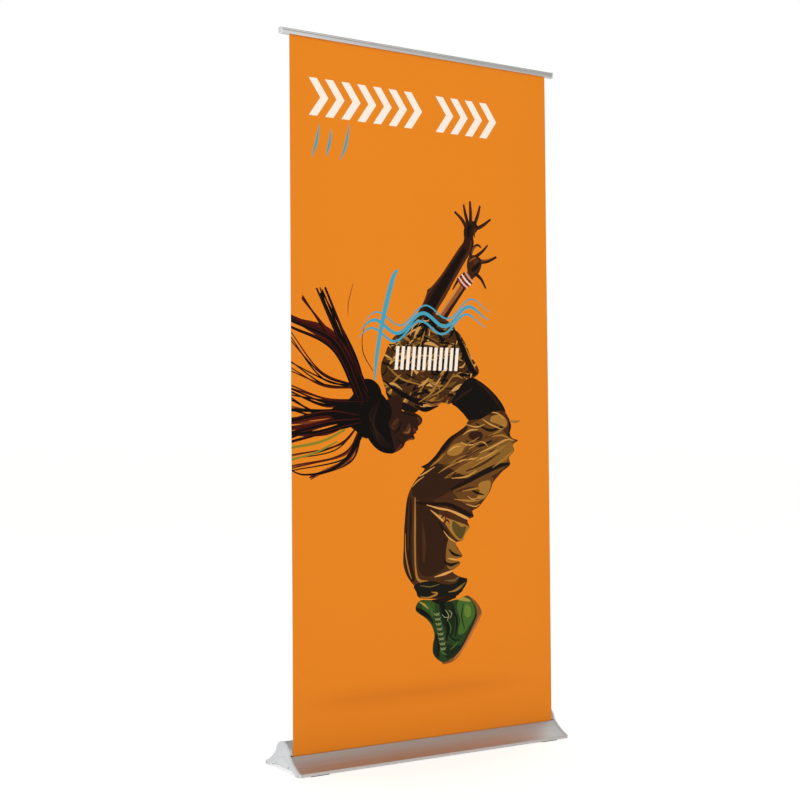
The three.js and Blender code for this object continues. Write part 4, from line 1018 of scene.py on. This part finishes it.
# ------------------------------------------------------------------ pole
# Three drawn aluminium tubes slide in one another, bright and hard with fine lines along them.
# Real draw lines are about 0.1 mm apart; here they are 0.8 mm, so that they show.
bright, tree = material("aluminium_tube_drawn")
place = add(tree, "TexCoord").outputs["Object"]
drawn = add(tree, "Mapping", {"Vector": place, "Scale": (1250, 1250, 3)}).outputs[0]
lines = add(tree, "TexNoise", {"Vector": drawn, "Scale": 1.0, "Detail": 3.0}).outputs[0]
tone = add(tree, "ValToRGB", {"Fac": lines})
tone.color_ramp.elements[0].color = linear("d6d7d9")
tone.color_ramp.elements[1].color = linear("e6e6e7")
rough = add(tree, "MapRange", {"Value": lines, 3: 0.16, 4: 0.30}).outputs[0]
relief = add(tree, "Bump", {"Height": lines, "Strength": 0.1, "Distance": 0.03 * MM}).outputs[0]
metal = add(tree, "BsdfPrincipled", {
    "Base Color": tone.outputs[0], "Metallic": 1.0, "Roughness": rough, "Normal": relief})
add(tree, "OutputMaterial", {"Surface": metal.outputs[0]})
for node, body in (("pole_lower", "base"), ("pole_middle", "middle_stage"), ("pole_upper", "top_rail")):
    dressed(node, f"{node}_tube", 0.15, bright, body)

# Each tube ends in a twist-lock collar of black nylon, with fourteen ribs to grip, over a split
# grey sleeve, and slides on a nylon glide. The collar's bore is stepped: a lip round the thinner
# tube, room for the sleeve, then a skirt round the end of its own tube. Millimetres.
COLLAR_LENGTH, COLLAR_WALL, COLLAR_GAP, SLEEVE_ROOM = 44, 4, 0.3, 2.8
LIP, SKIRT, COLLAR_RIM, RIBS, SPOKES = 4, 18, 1.2, 14, 8
GROOVE_LOW, GROOVE_HIGH, GROOVE_RUN_OUT, GROOVE_DEPTH = -14, 12, 2, 0.8
GROOVE_FROM, GROOVE_TO = 0.3, 0.8               # the part of each rib's turn that is sunk
NEAR = 0.1


def twist_collar(node, name, body, tube, inner):
    bpy.ops.object.select_all(action="DESELECT")
    outer = tube + COLLAR_GAP + COLLAR_WALL
    end = COLLAR_LENGTH / 2
    collar = mesh_add("cylinder", name, vertices=RIBS * SPOKES, radius=outer * MM,
                      depth=COLLAR_LENGTH * MM)
    pick(collar, lambda middle, along: abs(along.z) < 0.5)
    bpy.ops.mesh.bevel(offset=COLLAR_RIM * MM, segments=3)
    for height in (GROOVE_LOW - GROOVE_RUN_OUT, GROOVE_LOW, GROOVE_HIGH, GROOVE_HIGH + GROOVE_RUN_OUT):
        bpy.ops.mesh.select_all(action="SELECT")
        bpy.ops.mesh.bisect(plane_co=(0, 0, height * MM), plane_no=(0, 0, 1))

    def in_groove(middle, along):
        turn = math.atan2(middle.y, middle.x) / (2 * math.pi) * RIBS % 1
        level = (GROOVE_LOW - NEAR) * MM < middle.z < (GROOVE_HIGH + NEAR) * MM
        return abs(along.z) > 0.9 and level and GROOVE_FROM < turn < GROOVE_TO

    pick(collar, in_groove)
    sunk = 1 - GROOVE_DEPTH / outer
    bpy.ops.transform.resize(value=(sunk, sunk, 1), center_override=(0, 0, 0))
    pick(collar, lambda middle, normal: normal.z > 0.99 and middle.z > (end - NEAR) * MM, "FACE")
    bpy.ops.mesh.inset(thickness=(outer - COLLAR_RIM - inner - COLLAR_GAP) * MM)
    bpy.ops.mesh.extrude_region_move(TRANSFORM_OT_translate={"value": (0, 0, -LIP * MM)})
    wider = (inner + SLEEVE_ROOM) / (inner + COLLAR_GAP)
    bpy.ops.transform.resize(value=(wider, wider, 1), center_override=(0, 0, (end - LIP) * MM))
    room = COLLAR_LENGTH - LIP - SKIRT
    bpy.ops.mesh.extrude_region_move(TRANSFORM_OT_translate={"value": (0, 0, -room * MM)})
    bpy.ops.mesh.inset(thickness=(inner + SLEEVE_ROOM - tube - COLLAR_GAP) * MM)
    pick(collar, lambda middle, normal: normal.z < -0.99 and middle.z < (NEAR - end) * MM, "FACE")
    bpy.ops.mesh.inset(thickness=(outer - COLLAR_RIM - tube - COLLAR_GAP) * MM)
    pick(collar, lambda middle, normal: middle.xy.length < NEAR * MM and abs(normal.z) > 0.99, "FACE")
    bpy.ops.mesh.bridge_edge_loops()
    bpy.ops.mesh.select_all(action="SELECT")
    bpy.ops.mesh.normals_make_consistent(inside=False)
    bpy.ops.object.mode_set(mode="OBJECT")
    low, high = (Vector(corner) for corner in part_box(node))
    collar.rotation_euler = pole_axis.to_track_quat("Z", "Y").to_euler()
    collar.location = (low + high) / 2
    bpy.ops.object.transform_apply()
    bpy.ops.object.shade_smooth_by_angle(angle=math.radians(28))
    put_on(collar, black_nylon)
    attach(collar, body)
    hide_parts(node)


twist_collar("lower_collar", "lower_collar_ribbed", "lower_lock", 11.0, 9.5)
twist_collar("middle_collar", "middle_collar_ribbed", "middle_lock", 9.5, 8.0)
dressed("pole_head", "pole_head_moulding", 0.3, black_nylon, "top_rail")
for node in ("pole_foot_plug", "middle_glide", "upper_glide"):
    put_on(frame["nodes"][node], black_nylon)
for node in ("lower_sleeve", "middle_sleeve"):
    put_on(frame["nodes"][node], grey_nylon)
